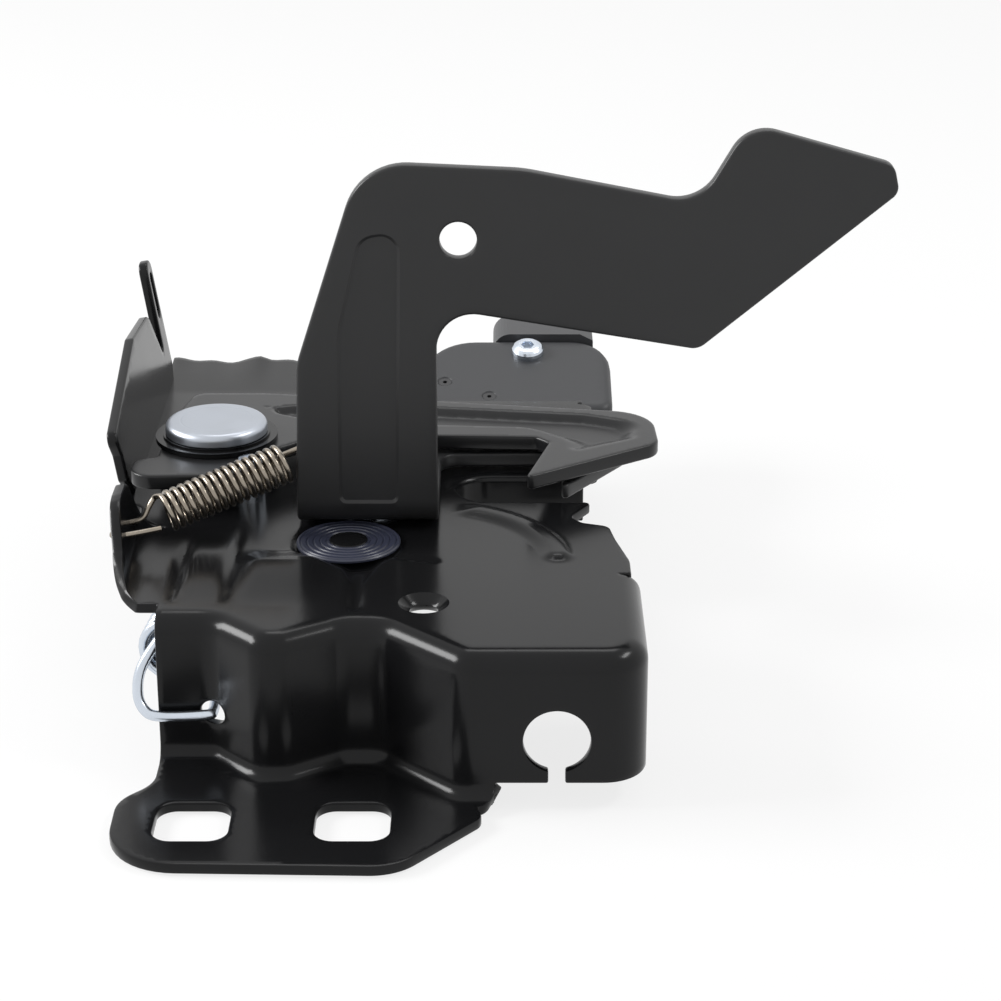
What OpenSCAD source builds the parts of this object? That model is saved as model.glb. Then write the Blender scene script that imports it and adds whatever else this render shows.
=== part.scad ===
// Bonnet latch: pressed base, sprung catch hook, safety lever, release lever and switch.
// Origin: on the mounting face under the flange, midway between the fixing slots. Z is up.

/* [Base] */
// Thickness of the base sheet
sheet = 2; // [1.8:0.1:2.2]
// Height of the plate above the mounting face
plate_top = 30; // [29:0.5:32]
// Outer radius of the bend at the top of the front wall
bend_out = 4; // [3.4:0.1:4.2]
// Inner radius of the bend into the flange
flange_bend = 3; // [2:0.1:3.4]
// Distance between the fixing slots
slot_pitch = 28.2; // [26:0.1:30]
// Width of a fixing slot
slot_w = 13.2; // [10:0.1:14]
// Depth of a fixing slot
slot_d = 13.6; // [10:0.1:14]
// Corner radius of a fixing slot
slot_round = 3.5; // [1:0.1:3.9]

/* [Cable seat] */
// Diameter of the keyhole for the cable end
keyhole_d = 12; // [9:0.1:13]
// Width of the neck under the keyhole
neck_w = 3; // [2:0.1:5]
// Place of the keyhole along the wall
keyhole_x = 50; // [47:0.1:50.5]
// Height of the keyhole above the mounting face
keyhole_z = 13.2; // [12.6:0.1:14]

/* [Catch] */
// Thickness of the catch hook
catch_t = 3; // [2.6:0.1:3.2]
// Pivot of the catch hook, across
catch_x = -17.8; // [-18.4:0.1:-17.2]
// Pivot of the catch hook, front to rear
catch_y = 95; // [94.4:0.1:95.6]
// Diameter of the pivot that the catch turns on
catch_pivot_d = 12; // [10:0.1:13]
// Diameter of the rivet head
catch_head_d = 20.7; // [18:0.1:22]
// Angle that the catch opens
catch_swing = 20; // [10:1:22]

/* [Safety lever] */
// Thickness of the lever sheet
lever_t = 3; // [2.6:0.1:3.2]
// Front face of the lever
lever_front = 65; // [64.6:0.1:65.4]
// Pivot of the safety lever, across
lever_x = 14; // [13:0.1:15]
// Pivot of the safety lever, front to rear
lever_y = 77; // [76.5:0.1:78]
// Diameter of the hole in the lever
lever_hole_d = 7; // [4:0.1:9]

/* [Release lever] */
// Thickness of the release lever
release_t = 3; // [2.4:0.1:3]
// Pivot of the release lever, across
release_x = 10.8; // [10.4:0.1:11.2]
// Pivot of the release lever, front to rear
release_y = 59; // [58.6:0.1:59.4]
// Diameter of the ringed disc
ring_d = 20; // [14:0.5:21]

/* [Springs] */
// Wire of the safety spring
safety_wire = 1.1; // [0.9:0.1:1.3]
// Outside diameter of the safety spring
safety_coil_d = 8.2; // [7:0.1:9]
// Turns of the safety spring
safety_turns = 16; // [12:1:16]
// Wire of the catch spring
catch_wire = 2; // [1.6:0.1:2.2]
// Outside diameter of the catch spring
catch_coil_d = 12.5; // [11:0.1:13]
// Turns of the catch spring
catch_turns = 13; // [8:1:14]

/* [Switch] */
// Width of the switch housing
switch_w = 43; // [40:0.5:44]
// Depth of the switch housing
switch_d = 26; // [24:0.5:28]
// Slope of the housing's face
switch_slope = 16; // [12:1:17]
// Diameter of the screw head
screw_d = 7.4; // [6:0.1:8]

/* [Hidden] */
$fn = 48;
eps = 0.01;
fit = 0.05;    // radial clearance of a pivot
gap = 0.1;     // axial clearance between moving faces
stub = 1;      // flat that each bend carries past its tangent
slot_size = [slot_w, slot_d];
keyhole_at = [keyhole_x, keyhole_z];
catch_at = [catch_x, catch_y];
lever_at = [lever_x, lever_y];
release_at = [release_x, release_y];
plate_low = plate_top - sheet;
left_end = [-22.5, 24.5, 0];    // wall start: x, y, heading
corner_r = 8;
// Line between the two arcs of an S that shifts the wall sideways
function s_line(shift, r, a) = (shift - 2 * r * (1 - cos(a))) / sin(a);
wave_r = 6;
out_a = 45;
back_a = 33;
ramp_a = 44;
LINE = 0;
ARC = 1;
// Plan of the front wall, left to right: [LINE, length] or [ARC, radius, turn to the left]
flanged_run = [
    [LINE, 7.6], [ARC, wave_r, -out_a], [LINE, s_line(8.9, wave_r, out_a)], [ARC, wave_r, out_a], [LINE, 0.4],
    [ARC, wave_r, back_a], [LINE, s_line(6.9, wave_r, back_a)], [ARC, wave_r, -back_a], [LINE, 2.2],
    [ARC, wave_r, -ramp_a], [LINE, s_line(14.3, wave_r, ramp_a)], [ARC, wave_r, ramp_a], [LINE, 3.64]
];
plain_run = [[LINE, 19.2], [ARC, corner_r, 90], [LINE, 28]];
flanged_stops = stops(flanged_run, left_end);
corner_start = flanged_stops[len(flanged_run)];
plain_stops = stops(plain_run, corner_start);
side_end = plain_stops[len(plain_run)];
wall_right_y = corner_start.y;

foot_low = plate_top + 1;              // underside of the lever foot
catch_low = foot_low + lever_t + 1;    // underside of the catch
catch_top = catch_low + catch_t;
release_top = plate_low - 1;
release_low = release_top - release_t;
stud_off = [7.8, -13];                 // stud from the catch pivot
stud_at = catch_at + stud_off;
stud_d = 6;
washer_h = 1.4;                        // of the stepped washer under the catch rivet
hook_z = release_low - 3;              // height of the catch spring on the stud
slot_y = [80, 94];                     // striker slot, front and rear
slot_end = 38;
shelf_top = plate_top - 10;            // shelf that carries the switch
switch_x = 22;
switch_y = 142;
shelf_y = switch_y - 3;                // where the plate steps down to the shelf
switch_front = 7.5;                    // height of the housing's front edge over the shelf
pin_spots = [[5.5, 9.7], [15.5, 4.4]];
screw_spot = [24.2, 20.6];
ear_x = -35.4;
spring_ear_x = -31.2;
ear_lean = 12;                         // of the spring ear
rim_y = 145;
ear_hole = [54, 6.75];                 // y and height up the ear, midway between its two holes
hook_half = 3;
tab_hole = [71, 45.8];
tab_x = 6;
spring_hole = [-12.5, 11.2];           // x and z of the hole for the catch spring
black = "#1d1e20";
satin = "#2b2c2e";
zinc = "#b9bec4";
bronze = "#8d7f6d";
plastic = "#3a3c3f";

// Next stop of a wall run: [x, y, heading]
function ahead(s, seg) = seg[0] == LINE
    ? [s.x + seg[1] * cos(s.z), s.y + seg[1] * sin(s.z), s.z]
    : let (side = sign(seg[2]), h = s.z + seg[2])
        [s.x + side * seg[1] * (sin(h) - sin(s.z)), s.y + side * seg[1] * (cos(s.z) - cos(h)), h];
function stops(run, s, i = 0) = i == len(run) ? [s] : concat([s], stops(run, ahead(s, run[i]), i + 1));
// Stops of a wall run with its arcs cut into short steps
function run_stops(run, from) = [
    for (i = [0:len(run) - 1])
        let (seg = run[i], n = seg[0] == LINE ? 1 : 5)
            for (k = [i == 0 ? 0 : 1:n])
                ahead(from[i], seg[0] == LINE ? [LINE, seg[1] * k] : [ARC, seg[1], seg[2] * k / n])
];
// Points of a wall run, moved to its left by off
function run_points(run, from, off) = [
    for (s = run_stops(run, from)) [s.x - off * sin(s.z), s.y + off * cos(s.z)]
];
// Outline with rounded corners from a list of [x, y, radius]
function rounded(corners) = [
    for (i = [0:len(corners) - 1])
        let (
            n = len(corners), p = corners[i], a = corners[(i + n - 1) % n], b = corners[(i + 1) % n],
            at = [p.x, p.y], u = unit([a.x - p.x, a.y - p.y]), v = unit([b.x - p.x, b.y - p.y]),
            half = acos(u * v) / 2
        )
            if (p.z == 0) at
            else
                let (
                    c = at + unit(u + v) * p.z / sin(half), s = at + u * p.z / tan(half) - c,
                    e = at + v * p.z / tan(half) - c, a0 = atan2(s.y, s.x), turn = atan2(e.y, e.x) - a0,
                    sweep = turn > 180 ? turn - 360 : turn < -180 ? turn + 360 : turn
                )
                    for (k = [0:8]) c + p.z * [cos(a0 + sweep * k / 8), sin(a0 + sweep * k / 8)]
];
function unit(v) = v / norm(v);

// Ring of points round each point of a wire's path, with a frame carried along it
function tangents(path) = [
    for (i = [0:len(path) - 1]) unit(path[min(i + 1, len(path) - 1)] - path[max(i - 1, 0)])
];
function carried(t, i = 0, n = [0, 0, 1]) =
    let (m = unit(n - (n * t[i]) * t[i])) i == len(t) - 1 ? [m] : concat([m], carried(t, i + 1, m));

module wire(path, d, sides = 8, first = [0, 0, 1]) {
    t = tangents(path);
    n = carried(t, 0, first);
    count = len(path);
    points = [
        for (i = [0:count - 1], k = [0:sides - 1])
            path[i] + d / 2 * (cos(360 * k / sides) * n[i] + sin(360 * k / sides) * cross(t[i], n[i]))
    ];
    skin = [
        for (i = [0:count - 2], k = [0:sides - 1])
            let (a = i * sides + k, b = i * sides + (k + 1) % sides) [a, a + sides, b + sides, b]
    ];
    ends = [[for (k = [0:sides - 1]) k], [for (k = [sides - 1:-1:0]) (count - 1) * sides + k]];
    polyhedron(points, concat(skin, ends), convexity = 10);
}
// Helix of a close-wound coil: from a start point, along an axis, with its own two cross directions
function coil(from, axis, side, r, length, turns, steps = 14) =
    let (up = cross(axis, side))
        [
            for (i = [0:turns * steps])
                let (a = 360 * i / steps)
                    from + axis * length * i / (turns * steps) + r * (cos(a) * side + sin(a) * up)
        ];

function arc(c, r, a0, a1, n = 4) = [
    for (k = [0:n]) let (a = a0 + (a1 - a0) * k / n) c + r * [cos(a), sin(a)]
];
top_c = [bend_out, plate_top - bend_out];
free_edge = sheet + flange_bend;    // bottom of the wall past the flange
low_c = [-flange_bend, free_edge];
// Section of the wall, x to the rear and y up: top bend, flange bend, and back up behind
top_part = concat([[bend_out + stub, plate_top]], arc(top_c, bend_out, 90, 180));
flange_part = concat(
    arc(low_c, flange_bend, 0, -90), [[-flange_bend - stub, sheet], [-flange_bend - stub, 0]],
    arc(low_c, flange_bend + sheet, -90, 0)
);
back_part = concat(arc(top_c, bend_out - sheet, 180, 90), [[bend_out + stub, plate_low]]);
section = concat(top_part, flange_part, back_part);
flange_from = len(top_part);
flange_to = flange_from + len(flange_part) - 1;
// Points of the section that the wall keeps where it has no flange
kept = [for (k = [0:len(section) - 1]) if (k <= flange_from || k >= flange_to) k];

// Front wall as one skin: the flanged run, then the plain run with the keyhole and the side wall
module front_wall() {
    flanged = run_stops(flanged_run, flanged_stops);
    plain = run_stops(plain_run, plain_stops);
    m = len(section);
    q = len(kept);
    last = len(flanged) - 1;
    more = len(plain) - 1;
    function at(s, p) = [s.x - p.x * sin(s.z), s.y + p.x * cos(s.z), p.y];
    points = concat(
        [for (s = flanged, p = section) at(s, p)], [for (i = [1:more], k = kept) at(plain[i], section[k])]
    );
    function ring(i) = [for (k = [0:m - 1]) i * m + k];
    function kept_ring(i) = i == 0
        ? [for (k = kept) last * m + k]
        : [for (k = [0:q - 1]) (last + 1) * m + (i - 1) * q + k];
    function band(a, b) = [
        for (k = [0:len(a) - 1]) let (n = (k + 1) % len(a)) each [[a[k], b[n], a[n]], [a[k], b[k], b[n]]]
    ];
    skin = concat(
        [for (i = [0:last - 1]) each band(ring(i), ring(i + 1))],
        [for (i = [0:more - 1]) each band(kept_ring(i), kept_ring(i + 1))]
    );
    flange_end = [for (k = [flange_to:-1:flange_from]) last * m + k];
    far_end = kept_ring(more);
    ends = [ring(0), flange_end, [for (k = [q - 1:-1:0]) far_end[k]]];
    polyhedron(points, concat(skin, ends), convexity = 10);
}

// Both outlines leave the bends a little before the wall's ends, with a relief notch there
relief = 1.5;
plate_front = left_end.y + bend_out + stub + 1;
plate_right = side_end.x - bend_out - stub - 1;
flange_line = run_points(flanged_run, flanged_stops, -flange_bend - stub / 2);
bend_line = concat(
    run_points([for (i = [0:11]) flanged_run[i]], flanged_stops, bend_out + stub / 2),
    run_points(plain_run, plain_stops, bend_out + stub / 2)
);
function inset_ends(line, first, last) = [
    for (i = [0:len(line) - 1]) line[i] + (i == 0 ? first : i == len(line) - 1 ? last : [0, 0])
];
plate_outline = concat(
    inset_ends(bend_line, [relief, 0], [0, -relief]),
    rounded([
        [plate_right, side_end.y - 0.5, 0], [plate_right, side_end.y + 1, 0], [64.5, side_end.y + 1, 0],
        [64.5, 50.5, 8], [62.2, 61, 8], [61.2, 67.6, 2.5], [56, 69.4, 2], [53.9, 72.2, 1.5],
        [58.5, slot_y[0], 1], [50, slot_y[0], 0]
    ]),
    rounded([[50, slot_y[1], 0], [60, slot_y[1], 3], [60, shelf_y, 3], [20, shelf_y, 0]]),
    [[20, rim_y], [ear_x, rim_y]],
    rounded([
        [ear_x, 90, 0], [ear_x, 81, 2], [spring_ear_x, 77, 3], [spring_ear_x, 45, 4], [-27.8, 34, 3],
        [-26, plate_front, 0], [left_end.x + 0.5, plate_front, 0]
    ])
);
flange_outline = concat(
    inset_ends(flange_line, [relief, 0], [-relief, 0]),
    rounded([
        [corner_start.x - 0.8, 3.4, 0], [36.9, 1.6, 6], [22.2, -15.9, 10], [-28, -14.6, 13], [-28.4, 7.5, 9],
        [left_end.x, 14, 8], [left_end.x, 19.6, 0]
    ])
);

module upright(t) {
    rotate([90, 0, 90]) linear_extrude(t) children();
}

// Plate that stands on the sheet's left edge at x and leans outwards
module ear(x, lean) {
    translate([x, 0, plate_low]) rotate([0, -lean, 0]) upright(sheet) children();
}

module ears() {
    ear(spring_ear_x, ear_lean)
        difference() {
            polygon(rounded([
                [45, 0, 0], [67, 0, 0], [66.2, 8, 4], [62.8, 13.2, 3], [54.5, 13.2, 5], [48, 7.5, 6]
            ]));
            for (y = [-hook_half, hook_half]) translate(ear_hole + [y, 0]) circle(d = 2.4);
        }
    // long ear beside the catch, with a slotted tab at its rear
    ear(ear_x, 9)
        difference() {
            polygon(rounded([
                [87, 0, 0], [152, 0, 0], [155.8, 5, 2], [155.8, 30.2, 2.6], [149.6, 30.2, 2.6],
                [148.8, 8, 1.2], [139.5, 21.8, 4], [118, 23.7, 4], [78, 16.2, 2], [81, 11.3, 1], [81, 6, 1.5]
            ]));
            for (h = [18.5, 26]) translate([152.7, h]) circle(d = 3);
            translate([151.2, 18.5]) square([3, 7.5]);
        }
}

module rear_rim() {
    translate([ear_x + 0.2, 0, 0])
        upright(19.8 - ear_x)
            polygon([
                [rim_y - 2, plate_low], [rim_y + 0.2, plate_low], [rim_y + 20, plate_low + 0.9],
                [rim_y + 20, plate_top + 0.9], [rim_y + 0.2, plate_top], [rim_y - 2, plate_top]
            ]);
}

// Shelf joggled down behind the plate for the switch
module shelf() {
    translate([26, 0, 0])
        upright(32)
            polygon([
                [shelf_y - 2, plate_low], [shelf_y - 1, plate_low], [shelf_y + 0.7, shelf_top - sheet],
                [switch_y + switch_d, shelf_top - sheet], [switch_y + switch_d, shelf_top],
                [shelf_y + 2.6, shelf_top], [shelf_y + 0.9, plate_top], [shelf_y - 2, plate_top]
            ]);
}

module arc_slot(c, r, a0, a1, w, z, h) {
    translate([c.x, c.y, z]) {
        rotate_extrude(angle = a1 - a0, start = a0) translate([r - w / 2, 0]) square([w, h]);
        for (a = [a0, a1]) rotate(a) translate([r, 0, 0]) cylinder(d = w - 0.1, h = h);
    }
}

module slot_prism(size, r, h) {
    linear_extrude(h)
        polygon(rounded([
            for (k = [[1, 1], [-1, 1], [-1, -1], [1, -1]]) [k.x * size.x / 2, k.y * size.y / 2, r]
        ]));
}

module base_plate() color(black)
    difference() {
        union() {
            front_wall();
            translate([0, 0, plate_low]) linear_extrude(sheet) polygon(plate_outline);
            linear_extrude(sheet) polygon(flange_outline);
            ears();
            rear_rim();
            shelf();
            // turned-down edge of the striker slot, at its rear and round its end
            translate([slot_end, slot_y[1] + 0.2, plate_low - 8]) cube([20, sheet, 9]);
            translate([slot_end, (slot_y[0] + slot_y[1]) / 2, plate_low - 8])
                rotate_extrude(angle = 91, start = 89)
                    translate([(slot_y[1] - slot_y[0]) / 2 + 0.2, 0]) square([sheet, 9]);
            // arc bead on the right of the plate
            translate([24, 50, plate_top - 3])
                rotate_extrude(angle = 68, start = 0)
                    translate([28, 0])
                        intersection() { circle(r = 4); translate([-4, 0]) square([8, 4]); }
        }
        for (x = [-slot_pitch / 2, slot_pitch / 2])
            translate([x, 0, -eps]) slot_prism(slot_size, slot_round, sheet + 2 * eps);
        // keyhole and its neck
        translate([keyhole_at.x, wall_right_y - 1, keyhole_at.y])
            rotate([-90, 0, 0]) cylinder(d = keyhole_d, h = sheet + 2, $fn = 96);
        translate([keyhole_at.x - neck_w / 2, wall_right_y - 1, free_edge - 1])
            cube([neck_w, sheet + 2, keyhole_at.y - free_edge]);
        translate([spring_hole.x, left_end.y - 4, spring_hole.y])
            rotate([-90, 0, 0]) cylinder(d = 4.4, h = 8);
        // pivots
        translate([catch_at.x, catch_at.y, plate_low - eps]) cylinder(d = 9, h = sheet + 1);
        translate([lever_at.x, lever_at.y, plate_low - eps]) cylinder(d = 8, h = sheet + 1);
        translate([release_at.x, release_at.y, plate_low - eps]) cylinder(d = 7, h = sheet + 1);
        // striker slot and the stud's arc slot
        translate([slot_end, slot_y[0], plate_low - 1]) cube([40, slot_y[1] - slot_y[0], sheet + 4]);
        translate([slot_end, (slot_y[0] + slot_y[1]) / 2, plate_low - 1])
            cylinder(d = slot_y[1] - slot_y[0], h = sheet + 4);
        arc_slot(
            catch_at, norm(stud_off), atan2(stud_off.y, stud_off.x) - 3,
            atan2(stud_off.y, stud_off.x) + catch_swing + 3, stud_d + 1.4, plate_low - 1, sheet + 2
        );
        // countersunk hole and the groove towards the wall
        translate([26, 31, plate_low - eps]) cylinder(d = 5, h = sheet + 1);
        translate([26, 31, plate_top - 1.9]) cylinder(d1 = 5.6, d2 = 9.6, h = 2);
        translate([13.4, 29, plate_top + 2.2]) rotate([-90, 0, 0]) cylinder(r = 3, h = 17);
        // screw hole of the switch shelf
        translate([switch_x + screw_spot.x, switch_y + screw_spot.y, shelf_top - sheet - 1])
            cylinder(d = 3.2, h = sheet + 2);
    }

catch_outline = rounded([
    [44.8, 72.9, 0.8], [72.2, 92.2, 5], [71.6, 110.2, 10], [27, 117.4, 60], [-10, 122.4, 30],
    [-25, 122.4, 3.5], [-28.6, 105, 15], [-28.6, 84.2, 1.2], [-33.2, 83.4, 4], [-33.2, 73.6, 4.5],
    [-12, 74.5, 9], [-5.5, 89, 10],
    [4, 97.4, 12], [47.2, 95.6, 2], [49.8, 92.6, 1.2]
]);
dish_outline = rounded([
    [53.5, 84.5, 1.6], [66.5, 94, 4], [67, 104, 7], [57, 109.2, 8], [30, 112.2, 20], [22, 110.5, 1.5],
    [26, 105, 3], [46, 102, 8], [53.5, 93, 5]
]);

module catch_hook() color(satin)
    difference() {
        translate([0, 0, catch_low]) linear_extrude(catch_t) polygon(catch_outline);
        translate([0, 0, catch_top - 0.8]) linear_extrude(1) polygon(dish_outline);
        translate([catch_at.x, catch_at.y, catch_low - 1])
            cylinder(d = catch_pivot_d + 2 * fit, h = catch_t + 2);
        translate([stud_at.x, stud_at.y, catch_low - 1]) cylinder(d = 4.5, h = catch_t + 2);
    }

module catch_stud() color(zinc)
    translate([stud_at.x, stud_at.y, 0])
        difference() {
            union() {
                translate([0, 0, hook_z - 3]) cylinder(d = stud_d, h = catch_low - hook_z + 3);
                translate([0, 0, hook_z]) cylinder(d = 4.5, h = catch_top - hook_z + 0.6);
            }
            translate([0, 0, hook_z])
                rotate_extrude() translate([stud_d / 2 + 0.4, 0]) circle(d = catch_wire + 0.6);
        }

module catch_bush() color(black)
    translate([catch_at.x, catch_at.y, plate_top])
        difference() {
            union() {
                cylinder(d = 24, h = 2.5);
                cylinder(d = 18, h = catch_low - plate_top - gap);
            }
            translate([0, 0, -1]) cylinder(d = catch_pivot_d, h = 20);
        }

module catch_washer() color(black)
    translate([catch_at.x, catch_at.y, catch_top + gap])
        difference() {
            union() {
                cylinder(d = catch_head_d + 4, h = 1);
                cylinder(d = catch_head_d + 1, h = washer_h);
            }
            translate([0, 0, -1]) cylinder(d = catch_pivot_d, h = 4);
        }

module catch_rivet() color(zinc)
    translate([catch_at.x, catch_at.y, 0]) {
        translate([0, 0, catch_top + gap + washer_h])
            rotate_extrude()
                polygon(concat([[0, 0], [catch_head_d / 2, 0]],
                    arc([catch_head_d / 2 - 1.4, 1.2], 1.4, 0, 90), [[0, 2.6]]));
        translate([0, 0, plate_top])
            cylinder(d = catch_pivot_d, h = catch_top + gap + washer_h + 0.1 - plate_top);
        translate([0, 0, plate_low - 1]) cylinder(d = 9, h = sheet + 1.1);
        translate([0, 0, plate_low - 3]) cylinder(d1 = 11, d2 = 15, h = 3);
    }

lever_outline = rounded([
    [0.5, foot_low + 4, 0], [27.9, foot_low + 4, 0], [27.9, 75.2, 7], [77.4, 67, 3.5], [113.8, 97.5, 2.5],
    [112.6, 102.8, 3], [85.5, 110.5, 7], [76.8, 95.4, 8], [44, 101.8, 30], [14, 103.2, 12], [1.3, 64, 10]
]);
panel_outline = rounded([
    [8.8, foot_low + 3.5, 0], [20.3, foot_low + 3.5, 0], [21, 72, 60], [21.3, 90.5, 3.6], [13.4, 89, 4],
    [9, 70, 25]
]);
foot_outline = rounded([
    [0.5, lever_front + 4, 0], [27.9, lever_front + 4, 0], [27.9, 96.5, 4], [53, 97, 2], [52, 77, 0.8],
    [66.5, 99, 4], [61, 106, 5], [20, 106, 8], [12, 92, 8], [0.5, 84, 5]
]);

module safety_lever() color(satin)
    difference() {
        union() {
            translate([0, lever_front + lever_t, 0])
                rotate([90, 0, 0]) linear_extrude(lever_t) polygon(lever_outline);
            // bend from the upright into the foot
            translate([0.5, lever_front + 4, foot_low + 4])
                rotate([90, 0, 90])
                    rotate_extrude(angle = 90, start = 180)
                        translate([4 - lever_t, 0]) square([lever_t, 27.4]);
            translate([0, 0, foot_low]) linear_extrude(lever_t) polygon(foot_outline);
            // tab behind the upright for the safety spring
            translate([tab_x, 0, 0])
                upright(2)
                    polygon(rounded([
                        [lever_front + 2, tab_hole[1] - 5, 0], [lever_front + 12, tab_hole[1] - 5, 3],
                        [lever_front + 12, tab_hole[1] + 5, 3], [lever_front + 2, tab_hole[1] + 5, 0]
                    ]));
        }
        translate([32.1, lever_front - 1, 88.4])
            rotate([-90, 0, 0]) cylinder(d = lever_hole_d, h = lever_t + 2);
        translate([0, lever_front + 0.5, 0]) rotate([90, 0, 0]) linear_extrude(1) polygon(panel_outline);
        translate([lever_at.x, lever_at.y, foot_low - 1]) cylinder(d = 8 + 2 * fit, h = lever_t + 2);
        translate([tab_x - 1, tab_hole[0], tab_hole[1]]) rotate([0, 90, 0]) cylinder(d = 2.6, h = 4);
    }

module lever_rivet() color(zinc)
    translate([lever_at.x, lever_at.y, 0]) {
        translate([0, 0, foot_low + lever_t + gap])
            rotate_extrude() polygon(concat([[0, 0], [6, 0]], arc([5, 1.2], 1, 0, 90), [[0, 2.2]]));
        translate([0, 0, plate_low - 1]) cylinder(d = 8, h = foot_low + lever_t + gap - plate_low + 1.1);
        translate([0, 0, plate_low - 2]) cylinder(d1 = 9, d2 = 11.5, h = 2);
    }

module washer(d, bore, h) {
    difference() {
        cylinder(d = d, h = h);
        translate([0, 0, -1]) cylinder(d = bore, h = h + 2);
    }
}

module lever_washer() color(zinc)
    translate([lever_at.x, lever_at.y, plate_top]) washer(15, 8, foot_low - plate_top - gap);

// Bar with round ends between two plan points
module bar(a, b, w, h) {
    translate([a.x, a.y, 0]) cylinder(d = w, h = h);
    translate([b.x, b.y, 0]) cylinder(d = w, h = h);
    translate([a.x, a.y, 0])
        rotate(atan2(b.y - a.y, b.x - a.x)) translate([0, -w / 2, 0]) cube([norm(b - a), w, h]);
}

push_way = unit([-stud_off.y, stud_off.x]);
finger_at = stud_at - push_way * (stud_d / 2 + 2.5);
cable_arm = [keyhole_at.x, release_at.y - 1];

module release_lever() color(satin)
    difference() {
        union() {
            translate([0, 0, release_low]) {
                translate([release_at.x, release_at.y, 0]) cylinder(d = 17, h = release_t);
                bar(release_at, [-13, 69], 8, release_t);
                bar([-13, 69], finger_at, 4, release_t);
                bar(release_at, cable_arm, 9, release_t);
            }
            // tab folded down to the cable
            translate([cable_arm.x - 4.5, cable_arm.y - 1.5, keyhole_at.y - 5])
                cube([9, release_t, release_top - keyhole_at.y + 5]);
        }
        translate([release_at.x, release_at.y, release_low - 1])
            cylinder(d = 7 + 2 * fit, h = release_t + 2);
        translate([cable_arm.x, cable_arm.y - 3, keyhole_at.y])
            rotate([-90, 0, 0]) cylinder(d = 4, h = 8);
    }

module release_rivet() color("#23252e")
    translate([release_at.x, release_at.y, 0]) {
        translate([0, 0, plate_top + 0.6])
            rotate_extrude() polygon([[0, 0], [3.7, 0], [3.6, 0.2], [2.4, 0.4], [0, 0.4]]);
        translate([0, 0, release_low - 1]) cylinder(d = 7, h = plate_top + 0.7 - release_low + 1);
        translate([0, 0, release_low - gap - 2]) cylinder(d1 = 10.5, d2 = 12, h = 2);
    }

module release_washer() color("#23252e")
    translate([release_at.x, release_at.y, plate_top])
        difference() {
            cylinder(d = ring_d, h = 0.6);
            translate([0, 0, -1]) cylinder(d = 7, h = 3);
            // turned rings
            for (r = [5.4:1.5:9]) translate([0, 0, 0.45])
                difference() {
                    cylinder(r = r + 0.3, h = 1);
                    translate([0, 0, -1]) cylinder(r = r - 0.3, h = 3);
                }
        }

module release_spacer() color(zinc)
    translate([release_at.x, release_at.y, release_top + gap])
        washer(13, 7, plate_low - release_top - gap);

spring_a = [
    spring_ear_x + sheet / 2 * cos(ear_lean) - ear_hole[1] * sin(ear_lean), ear_hole[0],
    plate_low + sheet / 2 * sin(ear_lean) + ear_hole[1] * cos(ear_lean)
];
spring_b = [tab_x + 1, tab_hole[0], tab_hole[1]];

// Extension spring: a loop through the ear's two holes, then the coil from its top, and a straight tail
module safety_spring() color(bronze) {
    axis = unit(spring_b - spring_a);
    top = cross(unit(cross(axis, [0, 0, 1])), axis);
    r = (safety_coil_d - safety_wire) / 2;
    count = safety_turns + 0.75;    // ends behind the lever
    turns = coil(spring_a + axis * 8.8, axis, top, r, count * (safety_wire + 0.4), count);
    loop = [
        [7.3, -0.6, 0.5], [0, -hook_half, 0], [-1.7, -2.2, -0.3], [-1.8, 0, -0.4], [-1.7, 2.2, -0.3],
        [0, hook_half, 0], [3.2, 3.2, 0.9], [4.5, 3.3, 3]
    ];
    tail = [for (x = [-5, -2.5, 2.4]) spring_b + [x, x < -3 ? -0.3 : 0, x < -3 ? -0.4 : 0]];
    wire(concat([for (v = loop) spring_a + v], turns, tail), safety_wire, 6, [0.2, 0.3, 1]);
}

coil_at = [-20.6, 30, 20.5];    // front end of the catch spring's coil, on its axis
wall_hole = [spring_hole.x, left_end.y, spring_hole.y];
stud_hook = [stud_at.x, stud_at.y, hook_z];

// Extension spring under the plate: its front hook goes round the wall's edge into the hole
module catch_spring() color(zinc) {
    axis = unit(stud_hook - [6.5, 12, 0] - coil_at);
    top = cross(unit(cross(axis, [0, 0, 1])), axis);
    r = (catch_coil_d - catch_wire) / 2;
    count = catch_turns - 0.25;    // from the top round to the left
    turns = coil(coil_at, axis, top, r, count * (catch_wire + 0.25), count);
    front = left_end.y - catch_wire / 2 - 0.5;
    edge = left_end.x - catch_wire / 2 - 1.4;
    lead = [
        [spring_hole.x, left_end.y + 4, spring_hole.y], [spring_hole.x, left_end.y, spring_hole.y],
        [spring_hole.x - 1.2, front, spring_hole.y], [edge + 3, front, spring_hole.y - 0.3],
        [edge, front + 0.8, spring_hole.y + 0.6], [edge - 1.3, left_end.y + 1, spring_hole.y + 3.4],
        [edge - 0.4, left_end.y + 3, spring_hole.y + 8]
    ];
    tail = [
        stud_hook - [3.8, 7, 0], stud_hook - [4.1, 2, 0], stud_hook - [3.2, -2.6, 0],
        stud_hook + [0, 4.1, 0], stud_hook + [3.2, 2.6, 0]
    ];
    wire(concat(lead, turns, tail), catch_wire, 6, [0.1, 0.2, 1]);
}

// Face of the housing: z over the shelf at a depth behind its front
function face_z(depth) = switch_front + depth * tan(switch_slope);

// Puts a child on the sloping face at [x, depth], its z square to the face
module on_face(spot) {
    translate([switch_x + spot.x, switch_y + spot.y, shelf_top + face_z(spot.y)])
        rotate([switch_slope, 0, 0]) children();
}

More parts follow.
